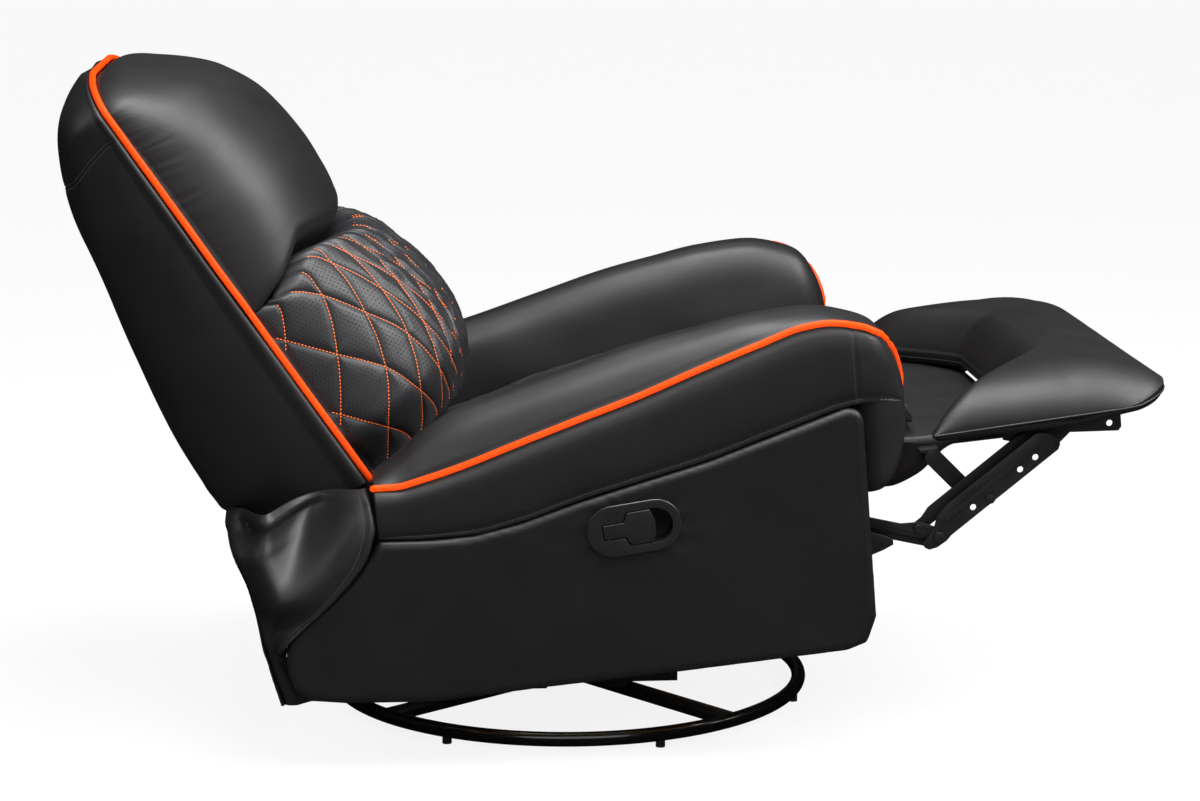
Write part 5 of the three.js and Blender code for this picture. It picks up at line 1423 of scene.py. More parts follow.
    def thread_gap(self, u: np.ndarray, s: np.ndarray) -> np.ndarray:
        """How far a place of the lumbar cushion is from the nearest thread.

        Args:
            u: places across, from 0 to 1.
            s: heights up the back's slope.

        Returns:
            The gaps, about in millimetres.
        """
        side = np.minimum(u, 1 - u)
        across, up = smooth_rows(self.diamond_rows, side), self.up_in_diamonds(side, s)
        return seam_gap(across + up, across - up) * np.interp(side, *np.array(self.diamond_widths).T)

    def sew_diamonds(self, skin: Skin, front: int, reach: float) -> None:
        """Sews the orange thread along the diamonds' seams.

        Args:
            skin: the lumbar cushion.
            front: its last column in front.
            reach: its height up the back's slope.
        """
        rows = skin.points.shape[0]
        table = np.array(self.diamond_rows)
        s = np.linspace(self.lumbar_foot + 6, self.lumbar_foot + reach - 10, 120)
        paths = []
        for mirror in (False, True):
            for number in range(-3, 11):
                for slope in (-1, 1):
                    # The seam's dip depends on its place across, so that place is found in a few passes.
                    side = np.full_like(s, 0.25)
                    for _ in range(6):
                        up = self.up_in_diamonds(side, s)
                        side = np.interp(number + slope * up, table[:, 1], table[:, 0], left=-1, right=2)
                    for run in self.runs((side > 0.012) & (side < 0.5)):
                        u = side[run] if not mirror else 1 - side[run]
                        if len(u) > 4:
                            row = (s[run] - self.lumbar_foot) / reach * (rows - 1)
                            paths.append(on_skin(skin, row, u * front, lift=0.35))
        stitches = REPEATS.stitches(
            "stitches_lumbar", paths, FINISH.orange_thread, pitch=4.8, length=3.9, width=1.6
        )
        trim_piece(stitches, "backrest")

    @staticmethod
    def runs(mask: np.ndarray) -> list[slice]:
        """Splits a mask into its unbroken stretches."""
        edges = np.flatnonzero(np.diff(np.concatenate([[0], mask.astype(int), [0]])))
        return [slice(a, b) for a, b in zip(edges[::2], edges[1::2])]

    def punch(self, skin: Skin, front: int, reach: float, pitch: float = 6.0, radius: float = 1.05) -> None:
        """Punches rows of small holes inside the diamonds, clear of their seams.

        Args:
            skin: the lumbar cushion.
            front: its last column in front.
            reach: its height up the back's slope.
            pitch: from one hole to the next, in millimetres.
            radius: a hole's radius.
        """
        rows = skin.points.shape[0]
        places = []
        levels = np.arange(self.lumbar_foot + 14, self.lumbar_foot + reach - 12, pitch * 0.86)
        for k, s in enumerate(levels):
            row = (s - self.lumbar_foot) / reach * (rows - 1)
            line = skin.at(np.full(front + 1, row), np.arange(front + 1))
            length = length_along(line) / MM
            stops = np.arange(pitch * (0.5 + 0.5 * (k % 2)), length[-1], pitch)
            columns = np.interp(stops, length, np.arange(front + 1))
            gap = self.thread_gap(columns / front, np.full_like(columns, s))
            side = np.minimum(columns / front, 1 - columns / front)
            keep = (gap > self.seam_clear) & (side > 0.015)
            places += [(row, c) for c in columns[keep]]
        spots = np.array(places)
        points, lies = on_skin(skin, spots[:, 0], spots[:, 1], lift=0.12)
        # The holes are flat near-black discs: painted shade for the inside of each hole.
        holes = REPEATS.holes("punched_holes_lumbar", points, lies, FINISH.punched, radius)
        trim_piece(holes, "backrest")

    def build_piping(self) -> None:
        """Makes the orange piping round the back's front edge."""
        inset = self.piping - 0.6
        levels = np.linspace(inset - 2, self.height - self.corner_up, 9)[:-1]
        upright = [(self.half - inset, s) for s in levels]
        corner = []
        for turn in np.linspace(0, math.pi / 2, 9):
            corner.append((
                self.half - self.corner_across + (self.corner_across - inset) * math.cos(turn),
                self.height - self.corner_up + (self.corner_up - inset) * math.sin(turn),
            ))
        path = upright + corner
        whole = np.array(path + [(-x, s) for x, s in reversed(path)])
        fine = spline(whole, 420)
        lift = self.piping + 0.8 + self.piping_sag.at(fine * MM)
        points = CHAIR.on_back(fine[:, 0], fine[:, 1], lift)
        cord = tube("back_piping_cord", points, self.piping)
        dress(cord, FINISH.piping)
        trim_piece(cord, "backrest", "back_piping")


# Carcass upholstery


def section_curve(controls: np.ndarray, corners: Sequence[int], counts: Sequence[int]) -> np.ndarray:
    """Draws a section as one rounded curve, cut at some of its own points.

    Args:
        controls: the curve's points, one a row.
        corners: which points cut it, the first and the last among them.
        counts: how many points each stretch gets, its far end left out.

    Returns:
        The points of all stretches, with the last end point.
    """
    fine = rounded(with_ends(controls))
    out = []
    for first, last, count in zip(corners[:-1], corners[1:], counts):
        out.append(even(fine[first * CURVE_STEPS : last * CURVE_STEPS + 1], count + 1)[:-1])
    return np.concatenate([*out, controls[-1:]])


@dataclass
class Arm:
    """A stuffed arm: its top, its outer band with a seam near the nose, and the piping between them."""

    side: Side
    rear: float = -289.0
    front: float = 422.0
    bottom: float = 338.0
    top: float = 588.0
    inner: float = 262.0
    rear_inner: float = 304.0
    outer: float = 404.0
    wall: float = 365.7
    bevel: float = 7.0
    piping_edge: float = 392.0
    crest: float = 330.0
    nose_start: float = 359.4
    nose_x: float = 334.0
    nose_z: float = 447.0
    nose_sweep: float = 15.0
    piping: float = 4.4
    band_seam_f: float = 353.0
    rows: Rows = (
        (0, 0.36, 0.316, 0.048), (0.039, 0.432, 0.316, 0.036), (0.09, 0.54, 0.34, 0.024),
        (0.17, 0.655, 0.392, 0.02), (0.258, 0.72, 0.464, 0.056), (0.378, 0.805, 0.56, 0.14),
        (0.496, 0.885, 0.652, 0.208), (0.615, 0.948, 0.76, 0.276), (0.733, 0.994, 0.86, 0.368),
        (0.815, 1, 0.924, 0.432), (0.871, 0.99, 0.936, 0.476), (0.911, 0.944, 0.904, 0.492),
    )
    hidden: int = 10
    band: int = 15
    top_count: int = 41
    body_rows: int = 53
    nose_rows: int = 14
    ease_from: float = 0.25
    ease_to: float = 0.95
    top_wave: Wave = Wave(70, 1.7, 41, (1, 0.55, 1))
    gather: Wave = Wave(20, 1.6, 43)
    piping_dip: float = 2.4
    seam_dip: float = 1.6
    tightness: float = 2.5

    def section(self, share: float, wall: float) -> np.ndarray:
        """One section as (x, z) points: hidden foot, outer band, top and inner face.

        Args:
            share: how far along the arm, from 0 to 1.
            wall: where its hidden outer wall stands, in millimetres.

        Returns:
            The section's points, one a row.
        """
        height = self.top - self.bottom
        shares = (float(smooth_rows(self.rows, share, column)) for column in (1, 2, 3))
        crest, pipe, seam = (self.bottom + height * level for level in shares)
        inner = self.rear_inner + (self.inner - self.rear_inner) * float(smoothstep(share, 0.03, 0.16))
        seam += 1
        rise, side, up = crest - pipe, pipe - seam, crest - self.bottom
        shown = np.array([
            (self.outer - self.bevel, seam), (self.outer - 1.5, seam + side * 0.16),
            (self.outer, seam + side * 0.45), (self.outer - 2, seam + side * 0.78), (self.piping_edge, pipe),
            (self.crest + 44, pipe + rise * 0.62), (self.crest + 22, pipe + rise * 0.9), (self.crest, crest),
            (max(self.crest - 24, inner + 8), crest - 3), (max(self.crest - 44, inner + 3), crest - 16),
            (inner + 8, self.bottom + up * 0.78), (inner, self.bottom + up * 0.5),
            (inner + 1, self.bottom + up * 0.2),
        ])
        foot = np.array([
            (inner + 14, self.bottom), (wall, self.bottom), (wall, seam), (self.outer - self.bevel, seam),
        ])
        hidden = np.concatenate([
            even(foot[:2], 6)[:-1], even(foot[1:3], 4)[:-1], even(foot[2:], 3)[:-1],
        ])
        return np.concatenate([hidden, section_curve(shown, (0, 4, 12), (self.band, self.top_count))])

    def skin(self) -> Skin:
        """The arm before it is stuffed.

        Returns:
            The skin.
        """
        last = self.rows[-1][0]
        length = self.front - self.rear
        shares = np.concatenate([np.linspace(0, 0.14, 10)[:-1], np.linspace(0.14, last, self.body_rows - 9)])
        rings = []
        for share in shares:
            ring = self.section(float(share), self.wall)
            f = np.full(len(ring), self.rear + length * share)
            rings.append(self.place(ring, f))
        start = self.section(last, self.outer - self.bevel)
        for turn in np.linspace(0, 1, self.nose_rows + 1) * 0.985 * math.pi / 2:
            wide, tall = math.cos(turn) ** 0.45, math.cos(turn) ** 0.9
            ring_x = self.nose_x + (start[:, 0] - self.nose_x) * wide
            ring = np.stack([ring_x, self.nose_z + (start[:, 1] - self.nose_z) * tall], 1)
            f = self.nose_start + (self.front - self.nose_start) * math.sin(turn)
            beside = (ring_x - self.nose_x) / (self.outer - self.nose_x)
            rings.append(self.place(ring, f - self.nose_sweep * math.sin(turn) * beside**2))
        return Skin(np.array(rings))

    def place(self, ring: np.ndarray, f: np.ndarray) -> np.ndarray:
        """Puts a section on the arm's own side."""
        return CHAIR.place(self.side.value * ring[:, 0], f, ring[:, 1])

    def build(self) -> None:
        """Makes the arm, its piping and its stitches."""
        base = self.skin()
        rows, count = base.points.shape[:2]
        # The stuffing rounds the cover where the nose begins.
        turn = rows - self.nose_rows - 1
        rounding = np.exp(-(((np.arange(rows) - turn) / 3.0) ** 2))[:, None, None]
        for _ in range(14):
            ahead, behind = np.roll(base.points, -1, 0), np.roll(base.points, 1, 0)
            base.points = base.points + rounding * ((ahead + behind) / 2 - base.points) / 2
        seam_column = self.hidden
        pipe_at = self.piping_column(np.arange(rows), rows, 1)
        on_pipe = np.abs(np.arange(count)[None] - pipe_at[:, None]) < 0.51
        held = np.where(on_pipe, 1.0, 0.0)
        held[:, : seam_column + 1] = 1
        held[:, -1] = 1
        held[:1] = held[-2:] = 1
        shown = np.where(on_pipe, 0.0, 1.0)
        shown[:, : seam_column + 1] = 0
        middle = smoothstep(np.arange(rows), 0, 4) * smoothstep(rows - np.arange(rows), 1, 8)
        base.swell(-self.tightness * shown * middle[:, None])
        skin = inflate(base, held, cap=9.0, pressure=3.0).finer()
        rows, count = skin.points.shape[:2]
        pipe, seam = self.piping_column(np.arange(rows), rows, FINER)[:, None], seam_column * FINER
        column = np.arange(count)[None, :]
        f_share = np.linspace(0, 1, rows)[:, None]
        # The covers dip into the piping's seam and into the upright seam before the nose.
        dip = self.piping_dip * np.exp(-((np.abs(column - pipe) / 3.2) ** 1.5))
        band_share = (self.band_seam_f - self.rear) / (self.front - self.rear)
        band_row = band_share / self.rows[-1][0] * self.body_rows * FINER
        on_band = smoothstep(column, seam, seam + 6) * (1 - smoothstep(column, pipe - 3, pipe))
        beside = np.abs(np.arange(rows)[:, None] - band_row)
        dip = dip + self.seam_dip * np.exp(-((beside / 1.6) ** 2)) * on_band
        top_side = smoothstep(column, pipe, pipe + 12) * (1 - smoothstep(column, count - 30, count - 6))
        ends = smoothstep(f_share, 0, 0.06)
        drape = self.top_wave.at(skin.points) * top_side
        # Short gathers run off the piping where the cover is eased round the nose.
        gather_zone = smoothstep(f_share, 0.66, 0.8) * (1 - smoothstep(f_share, 0.96, 1.0))
        near = np.exp(-np.abs(column - pipe) / 16.0) * (1 - np.exp(-np.abs(column - pipe) / 5.0))
        run = np.arange(rows)[:, None] + 0.12 * (column - pipe)
        gather = self.gather.at(np.stack(np.broadcast_arrays(run * 2.6 * MM, column * 0.3 * MM), -1))
        skin.swell((drape - dip + gather * near * gather_zone) * ends * (column > seam))
        word = self.side.word
        obj = skin.mesh(f"arm_cover_{word}")
        soft_piece(obj, FINISH.smooth, "carcass", f"arm_{word}")
        self.build_piping(skin)
        self.sew(skin, seam, (self.hidden + self.band) * FINER, band_row)

    def piping_column(self, row: np.ndarray, rows: int, finer: int) -> np.ndarray:
        """The piping's column at a row: the outer edge, then eased inward onto the nose's ridge.

        Args:
            row: the rows to read.
            rows: how many rows the skin has.
            finer: how many steps it has for each step of its plain form.

        Returns:
            The columns, as broken numbers.
        """
        start = self.section(self.rows[-1][0], self.outer - 2 * self.bevel)
        pipe = self.hidden + self.band
        crest = pipe + int(np.argmin(np.abs(start[pipe : pipe + self.top_count // 2, 0] - self.nose_x)))
        last = rows - 1
        first = last - self.nose_rows * finer
        inward = smoothstep((row - first) / (last - first), self.ease_from, self.ease_to)
        return (pipe + (crest - pipe) * inward) * finer

    def build_piping(self, skin: Skin) -> None:
        """Lays the orange piping into its seam.

        Args:
            skin: the finished arm.
        """
        rows = np.linspace(0, skin.points.shape[0] - 4, 230)
        column = self.piping_column(rows, skin.points.shape[0], FINER)
        points, lies = on_skin(skin, rows, column, self.piping * 0.5)
        sink = smoothstep(np.arange(len(rows)), len(rows) - 5, len(rows) - 1)[:, None]
        points = points - lies * sink * self.piping * 0.6 * MM
        points = even(points, 230)
        cord = tube(f"arm_piping_cord_{self.side.word}", points, self.piping)
        dress(cord, FINISH.piping)
        trim_piece(cord, "carcass", f"arm_piping_{self.side.word}")

    def sew(self, skin: Skin, seam: int, pipe: int, band_row: float) -> None:
        """Sews the dark stitches along the band's lower seam and beside its upright seam.

        Args:
            skin: the finished arm.
            seam: the lower seam's column.
            pipe: the piping's column.
            band_row: the upright seam's row.
        """
        rows = np.linspace(6, band_row + 2, 260)
        upright = np.linspace(seam + 2, pipe - 3, 60)
        paths = [
            on_skin(skin, rows, np.full_like(rows, seam + 3.2), lift=0.25),
            on_skin(skin, np.full_like(upright, band_row - 2.0), upright, lift=0.25),
        ]
        stitches = REPEATS.stitches(
            f"stitches_arm_{self.side.word}", paths, FINISH.grey_thread, pitch=4.2, length=3.2, width=0.75
        )
        trim_piece(stitches, "carcass")


@dataclass
class SidePanel:
    """A board covered in leather, slightly loose over its face."""

    side: Side
    voxel: float = 4.5
    handle_f: float = 44.0
    handle_z: float = 331.0
    face: float = 405.0
    waves: tuple[Wave, ...] = (Wave(130, 1.1, 51, (1, 0.6, 1)), Wave(48, 0.3, 52))
    ray_sway: Wave = Wave(60, 3.0, 53)
    rays: int = 14
    ray_height: float = 0.8
    tightness: float = 0.9
    stitch_in: float = 9.0
    edge: tuple[tuple[float, float], ...] = (
        (356, 452), (357, 413), (357, 359), (357, 305), (356, 251), (352, 197), (345, 150),
    )

    def build(self) -> None:
        """Makes the covered panel and its front stitches."""
        word = self.side.word
        obj = merged_copy(f"side_panel_{word}", f"side_cover_{word}")
        remesh = obj.modifiers.new("remesh", "REMESH")
        remesh.mode, remesh.voxel_size, remesh.use_smooth_shade = "VOXEL", self.voxel * MM, True
        smooth = obj.modifiers.new("smooth", "SMOOTH")
        smooth.factor, smooth.iterations = 0.5, 3
        bake(obj)
        places = read_points(obj, "co")
        face = smoothstep(read_points(obj, "normal")[:, 0] * self.side.value, 0.6, 0.95)
        # Loose, slow waves; the cover is drawn tight in faint rays round the handle.
        wave = sum(wave.at(places) for wave in self.waves)
        if self.side is Side.RIGHT:
            centre = CHAIR.place(0, self.handle_f, self.handle_z)
            away = (places - centre)[:, 1:] / MM
            ring = np.hypot(away[:, 0] / 1.6, away[:, 1])
            ray = np.sin(np.arctan2(away[:, 1], away[:, 0]) * self.rays + self.ray_sway.at(places))
            wave += self.ray_height * (ray - 1) * np.exp(-np.maximum(ring - 34, 0) / 14)
        places[:, 0] += self.side.value * (wave - self.tightness) * face * MM
        write_points(obj, places)
        soft_piece(obj, FINISH.panel, "carcass", f"side_panel_{word}")
        path = spline(np.array(self.edge) - np.array([self.stitch_in, 0.0]), 160)
        points = CHAIR.place(self.side.value * (self.face + 0.1), path[:, 0], path[:, 1])
        lies = np.tile([float(self.side.value), 0, 0], (len(points), 1))
        stitches = REPEATS.stitches(
            f"stitches_panel_{word}", [(points, lies)], FINISH.black_thread, pitch=4.2, length=3.2, width=0.8
        )
        trim_piece(stitches, "carcass")


def merged_copy(node: str, name: str) -> bpy.types.Object:
    """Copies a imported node's mesh and joins its loose triangles.

    Args:
        node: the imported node.
        name: the copy's name.

    Returns:
        The copy, linked into the scene.
    """
    mesh = frame["nodes"][node].data.copy()
    mesh.name = name
    work = bmesh.new()
    work.from_mesh(mesh)
    bmesh.ops.remove_doubles(work, verts=work.verts, dist=0.00001)
    work.to_mesh(mesh)
    work.free()
    for spare in [a for a in mesh.attributes if a.name in ("custom_normal", "sharp_edge")]:
        mesh.attributes.remove(spare)
    return link(bpy.data.objects.new(name, mesh))


def bake(obj: bpy.types.Object) -> None:
    """Turns an object's modifiers into plain mesh.

    Args:
        obj: the object, whose mesh is replaced.
    """
    graph = bpy.context.evaluated_depsgraph_get()
    graph.update()
    mesh = bpy.data.meshes.new_from_object(obj.evaluated_get(graph), depsgraph=graph)
    obj.modifiers.clear()
    obj.data = mesh
    mesh.name = obj.name


def read_points(obj: bpy.types.Object, what: str) -> np.ndarray:
    """Reads one vector of each point of an object.

    Args:
        obj: the object.
        what: Blender's name for the vector: co for places in metres, normal for outward directions.

    Returns:
        The vectors, one a row.
    """
    flat = np.zeros(len(obj.data.vertices) * 3)
    obj.data.vertices.foreach_get(what, flat)
    return flat.reshape(-1, 3)


def write_points(obj: bpy.types.Object, places: np.ndarray) -> None:
    """Moves the object's points.

    Args:
        obj: the object.
        places: the new places in metres.
    """
    obj.data.vertices.foreach_set("co", np.asarray(places, np.float32).ravel())
    obj.data.update()
    obj.data.shade_smooth()


@dataclass
class Seat:
    """The quilted seat between the arms."""

    rear: float = -190.0
    front: float = 446.0
    half: float = 254.0
    rear_half: float = 247.0
    bottom_rear: float = 300.0
    bottom_rise: float = 0.185
    lip_from: float = 395.0
    lip_bottom: float = 396.0
    side: float = 46.0
    crown: float = 2.0
    drop: float = 34.0
    rise: float = 208.0
    across: float = 84.7
    along: float = 124.0
    groove: float = 5.0
    columns: int = 67
    rows: Rows = (
        (0, 0.46), (0.06, 0.5), (0.27, 0.68), (0.48, 0.87), (0.62, 0.955), (0.77, 1), (0.87, 0.975),
        (0.93, 0.9), (0.97, 0.78), (0.99, 0.66), (1, 0.56),
    )

    def skin(self) -> Skin:
        """The seat before it is stuffed.

        Returns:
            The skin.
        """
        share = np.linspace(0, 1, 62)
        along = share * 0.65 + 0.35 * np.sin(share * math.pi / 2) ** 1.35
        f = self.rear + (self.front - self.rear) * along
        half = self.rear_half + (self.half - self.rear_half) * np.minimum(1, along * 8)
        top = self.bottom_rear + self.rise * smooth_rows(self.rows, along)
        slope = np.minimum(self.bottom_rear + self.bottom_rise * (f - self.rear), self.lip_bottom)
        under = np.where(f < self.lip_from, slope, self.lip_bottom)
        across = np.sin(np.linspace(-1, 1, self.columns) * math.pi / 2 * 0.985)
        across /= across[-1]
        round_off = np.sqrt(1 - np.abs(across) ** 6)
        x = across[None] * (half - self.side / 8)[:, None]
        domed = (self.side / 3 + self.crown * (1 - across**2)) * round_off
        z = (top - self.side / 3)[:, None] + domed[None]
        # The seat is pulled down beside the arms, most of all towards its front.
        pulled = smoothstep(along, 0.2, 0.6) * (1 - smoothstep(along, 0.9, 1))
        z = z - self.drop * pulled[:, None] * (across**2)[None]
        rim = [(1.0, 0.55), (1.0, 0.3), (0.995, 0.1), (0.96, 0.0)]
        low = np.linspace(0.94, -0.94, 14)
        right_x = np.stack([half * k for k, _ in rim], 1)
        right_z = np.stack([under + (top - under) * h for _, h in rim], 1)
        base_x = half[:, None] * low[None]
        base_z = np.repeat(under[:, None], len(low), 1)
        xs = np.concatenate([x, right_x, base_x, -right_x[:, ::-1]], 1)
        zs = np.concatenate([z, right_z, base_z, right_z[:, ::-1]], 1)
        return Skin(CHAIR.place(xs, f[:, None], zs))

    def build(self) -> None:
        """Makes the quilted seat and its dark thread."""
        base = self.skin()
        skin = inflate(base, base.held_round(self.columns), cap=4.0, pressure=2.0).finer()
        rows, count = skin.points.shape[:2]
        front = FINER * (self.columns - 1)
        column = np.arange(count)
        x = skin.points[..., 0] / MM
        length = length_along(skin.points[:, front // 2]) / MM
        up = (length / self.along)[:, None]
        gap = seam_gap(x / self.across + up, x / self.across - up) * self.across * 0.8
        inside = smoothstep(np.minimum(column, front - column), 0, 14)
        inside = inside * smoothstep(from_ends(rows), 2, 16)[:, None]
        skin.swell((1.0 - self.groove * np.exp(-gap / 6.5)) * inside)
        obj = skin.mesh("seat_cover")
        soft_piece(obj, FINISH.quilted, "carcass", "seat_cushion")
        paths = []
        for number in range(-14, 15):
            for slope in (-1, 1):
                across = (number - slope * length / self.along) * self.across
                for run in Backrest.runs(np.abs(across) < self.half - 12):
                    if run.stop - run.start > 6:
                        row = np.arange(rows)[run]
                        level = zip(x[run, : front + 1], across[run])
                        col = [np.interp(place, line, column[: front + 1]) for line, place in level]
                        paths.append(on_skin(skin, row, np.array(col), lift=0.3))
        stitches = REPEATS.stitches("stitches_seat", paths, FINISH.black_thread)
        trim_piece(stitches, "carcass")


@dataclass
class Footrest:
    """The footrest's padded board and the small bridge pad behind it."""

    rear: float = 457.0
    front: float = 789.0
    half: float = 352.0
    notch: float = 592.0
    notch_inner: float = 146.0
    notch_outer: float = 338.0
    corner: float = 84.0
    corner_rise: float = 78.0
    bottom: float = 381.0
    edge: float = 30.0
    crown: float = 54.0
    rear_roll: float = 60.0
    front_roll: float = 190.0
    top_columns: int = 41
    pad_wave: Wave = Wave(110, 1.0, 61)
    bridge_wave: Wave = Wave(60, 1.1, 71)
    tightness: float = 1.5
    under: Rows = ((457, 0), (650, 0.5), (738, 12), (789, 26))
    bridge_rear: float = 400.0
    bridge_front: float = 602.0
    bridge_half: float = 270.0
    bridge_top: float = 388.0
    bridge_hem: float = 308.0
    bridge_hem_mid: float = 360.0
    bridge_mid: float = 494.0
    bridge_flat: float = 380.0
    bridge_nose: float = 373.0
    bridge_nose_bottom: float = 366.0
    bridge_crown: float = 4.0

    def low(self, f: np.ndarray) -> np.ndarray:
        """The board's underside at f."""
        rows = np.array(self.under)
        return self.bottom + np.interp(f, rows[:, 0], rows[:, 1])

    def pad(self) -> Skin:
        """The footrest before it is stuffed, with its rows across the chair.

        Returns:
            The skin.
        """
        turn = np.linspace(-1, 1, 74)
        share = np.sin(turn * math.pi / 2 * 0.992) / math.sin(math.pi / 2 * 0.992)
        rings = []
        for s in share:
            x = s * self.half
            t = np.clip((abs(x) - self.notch_inner) / (self.notch_outer - self.notch_inner), 0, 1)
            t = t * 0.7 + 0.3 * t * t * (3 - 2 * t)
            f0 = self.notch + (self.rear - self.notch) * t
            c = max(0.0, (abs(x) - (self.half - self.corner)) / self.corner)
            f1 = self.front - self.corner_rise * (1 - math.sqrt(max(0.0, 1 - c * c)))
            edge = math.sqrt(max(0.0, 1 - abs(s) ** 16))
            across = math.sqrt(max(0.0, 1 - abs(s) ** 9))
            step = np.linspace(0, 1, self.top_columns)
            f = f0 + (f1 - f0) * (0.5 - 0.5 * np.cos(math.pi * step))
            rear = 1 - (1 - np.minimum(1, (f - f0) / self.rear_roll)) ** 2
            front = 1 - (1 - np.minimum(1, (f1 - f) / self.front_roll)) ** 3
            round_off = np.sqrt(np.maximum(0, np.sin(math.pi * step)))
            z = self.low(f) + (self.edge / 2) * (1 + edge * round_off) + self.crown * across * rear * front
            back = np.concatenate([[f1 - 1.5, f1 - 6], np.linspace(f1 - 14, f0 + 12, 15), [f0 + 5, f0 + 1.2]])
            lift = np.concatenate([[0.55, 0.15], np.zeros(15), [0.15, 0.55]])
            base = self.low(back) + (self.edge / 2) * (1 - edge * (1 - lift))
            rings.append(np.stack([np.concatenate([f, back]), np.concatenate([z, base])], 1))
        rings = np.array(rings)
        return Skin(CHAIR.place((share * self.half)[:, None], rings[..., 0], rings[..., 1]))

    def build(self) -> None:
        """Makes both pads and their seams."""
        self.build_pad()
        self.build_bridge()

    def build_pad(self) -> None:
        """Makes the footrest's pad with its edge band and seam."""
        base = self.pad()
        rows, count = base.points.shape[:2]
        top = np.zeros(count)
        top[2 : self.top_columns - 2] = 1
        base.swell(-self.tightness * top * smoothstep(from_ends(rows), 0, 8)[:, None])
        skin = inflate(base, base.held_round(self.top_columns, 0.6), cap=8.0, pressure=3.0).finer()
        rows, count = skin.points.shape[:2]
        column = np.arange(count)[None, :]
        last = FINER * (self.top_columns - 1)
        on_top = smoothstep(column, 2, 20) * (1 - smoothstep(column, last - 20, last))
        skin.swell(self.pad_wave.at(skin.points) * on_top)
        obj = skin.mesh("footrest_cover")
        soft_piece(obj, FINISH.smooth, "footrest", "footrest_pad")
        # A thin welt closes the cover round the board, just above its lower edge.
        run = np.linspace(1, rows - 2, 240)
        welt_front = skin.at(run, np.full_like(run, last + 3.0))
        welt_rear = skin.at(run[::-1], np.full_like(run, count - 3.0))
        loop = np.concatenate([welt_front, welt_rear])
        loop = even(np.concatenate([loop, loop[:1]]), 520, closed=True)
        welt = tube("footrest_welt", loop, 1.7, sides=8, closed=True)
        dress(welt, FINISH.smooth)
        trim_piece(welt, "footrest")

    def build_bridge(self) -> None:
        """Makes the bridge pad, whose leather falls in a hem towards the seat."""
        share = np.sin(np.linspace(-1, 1, 45) * math.pi / 2 * 0.99)
        share /= share[-1]
        rings = []
        for s in share:
            inset = s**8
            top = self.bridge_top - 6 * inset + self.bridge_crown * (1 - s * s)
            fold = 3 * float(1 - smoothstep(abs(s), 0.9, 0.99))
            rear, hem = self.bridge_rear, self.bridge_hem
            flat, front, mid = self.bridge_flat, self.bridge_front, self.bridge_mid
            outline = np.array([
                (rear + 4, top - 4), (rear + 16, top), (rear + 46, top - 2), (mid, flat),
                (front - 50, flat - 1), (front - 26, flat - 3), (front, self.bridge_nose - inset),
                (front - 4, self.bridge_nose_bottom + inset),
                (front - 40, self.bridge_nose_bottom - 2 + inset),
                (mid, self.bridge_hem_mid - fold + 4 * inset),
                ((mid + rear) / 2, (self.bridge_hem_mid + hem) / 2 - 10 - fold + 6 * inset),
                (rear + 2 * inset, hem + 8 * inset), (rear, hem + (top - hem) * 0.5), (rear + 4, top - 4),
            ])
            rings.append(section_curve(outline, (0, 6, 11, 13), (34, 24, 10))[:-1])
        rings = np.array(rings)
        skin = Skin(CHAIR.place((share * self.bridge_half)[:, None], rings[..., 0], rings[..., 1]))
        held = np.ones(skin.points.shape[:2])
        held[2:-2, 2:33] = 0
        skin = inflate(skin, held, cap=5.0, pressure=2.0).finer()
        rows = len(skin.points)
        skin.swell(self.bridge_wave.at(skin.points) * smoothstep(from_ends(rows), 2, 16)[:, None])
        obj = skin.mesh("bridge_cover")
        soft_piece(obj, FINISH.smooth, "bridge", "bridge_pad")
        run = np.linspace(6, rows - 7, 200)
        paths = [on_skin(skin, run, np.full_like(run, column), lift=0.2) for column in (232.0, 250.0)]
        stitches = REPEATS.stitches(
            "stitches_bridge", paths, FINISH.grey_thread, pitch=4.2, length=3.2, width=0.8
        )
        trim_piece(stitches, "bridge")


# Rigid pieces


def hard_piece(node: str, name: str, hold: Hold, material: bpy.types.Material) -> bpy.types.Object:
    """Remakes a packed rigid node with its sharp edges broken.

    Args:
        node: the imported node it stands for.
        name: the new piece's name.
        hold: what it is made of, which sets how wide its edges are broken.
        material: its finish.

    Returns:
        The piece.
    """
    body = frame["nodes"][node]["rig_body"]
    obj = merged_copy(node, name)
    work = bmesh.new()
    work.from_mesh(obj.data)
    bmesh.ops.dissolve_limit(
        work, angle_limit=math.radians(1.0), use_dissolve_boundaries=False, verts=work.verts, edges=work.edges
    )
    work.to_mesh(obj.data)
    work.free()
    bevel = obj.modifiers.new("broken edges", "BEVEL")
    bevel.width, bevel.segments, bevel.limit_method = hold.value * MM, 2, "ANGLE"
    bevel.angle_limit, bevel.use_clamp_overlap = SHARP_ANGLE - math.radians(6), True
    triangles = obj.modifiers.new("triangles", "TRIANGULATE")
    triangles.keep_custom_normals = True
    bake(obj)
    obj.data.shade_smooth()
    obj.data.set_sharp_from_angle(angle=SHARP_ANGLE)
    dress(obj, material)
    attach(obj, body)
    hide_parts(node)
    log.info("rigid piece %s: %d points", name, len(obj.data.vertices))
    return obj


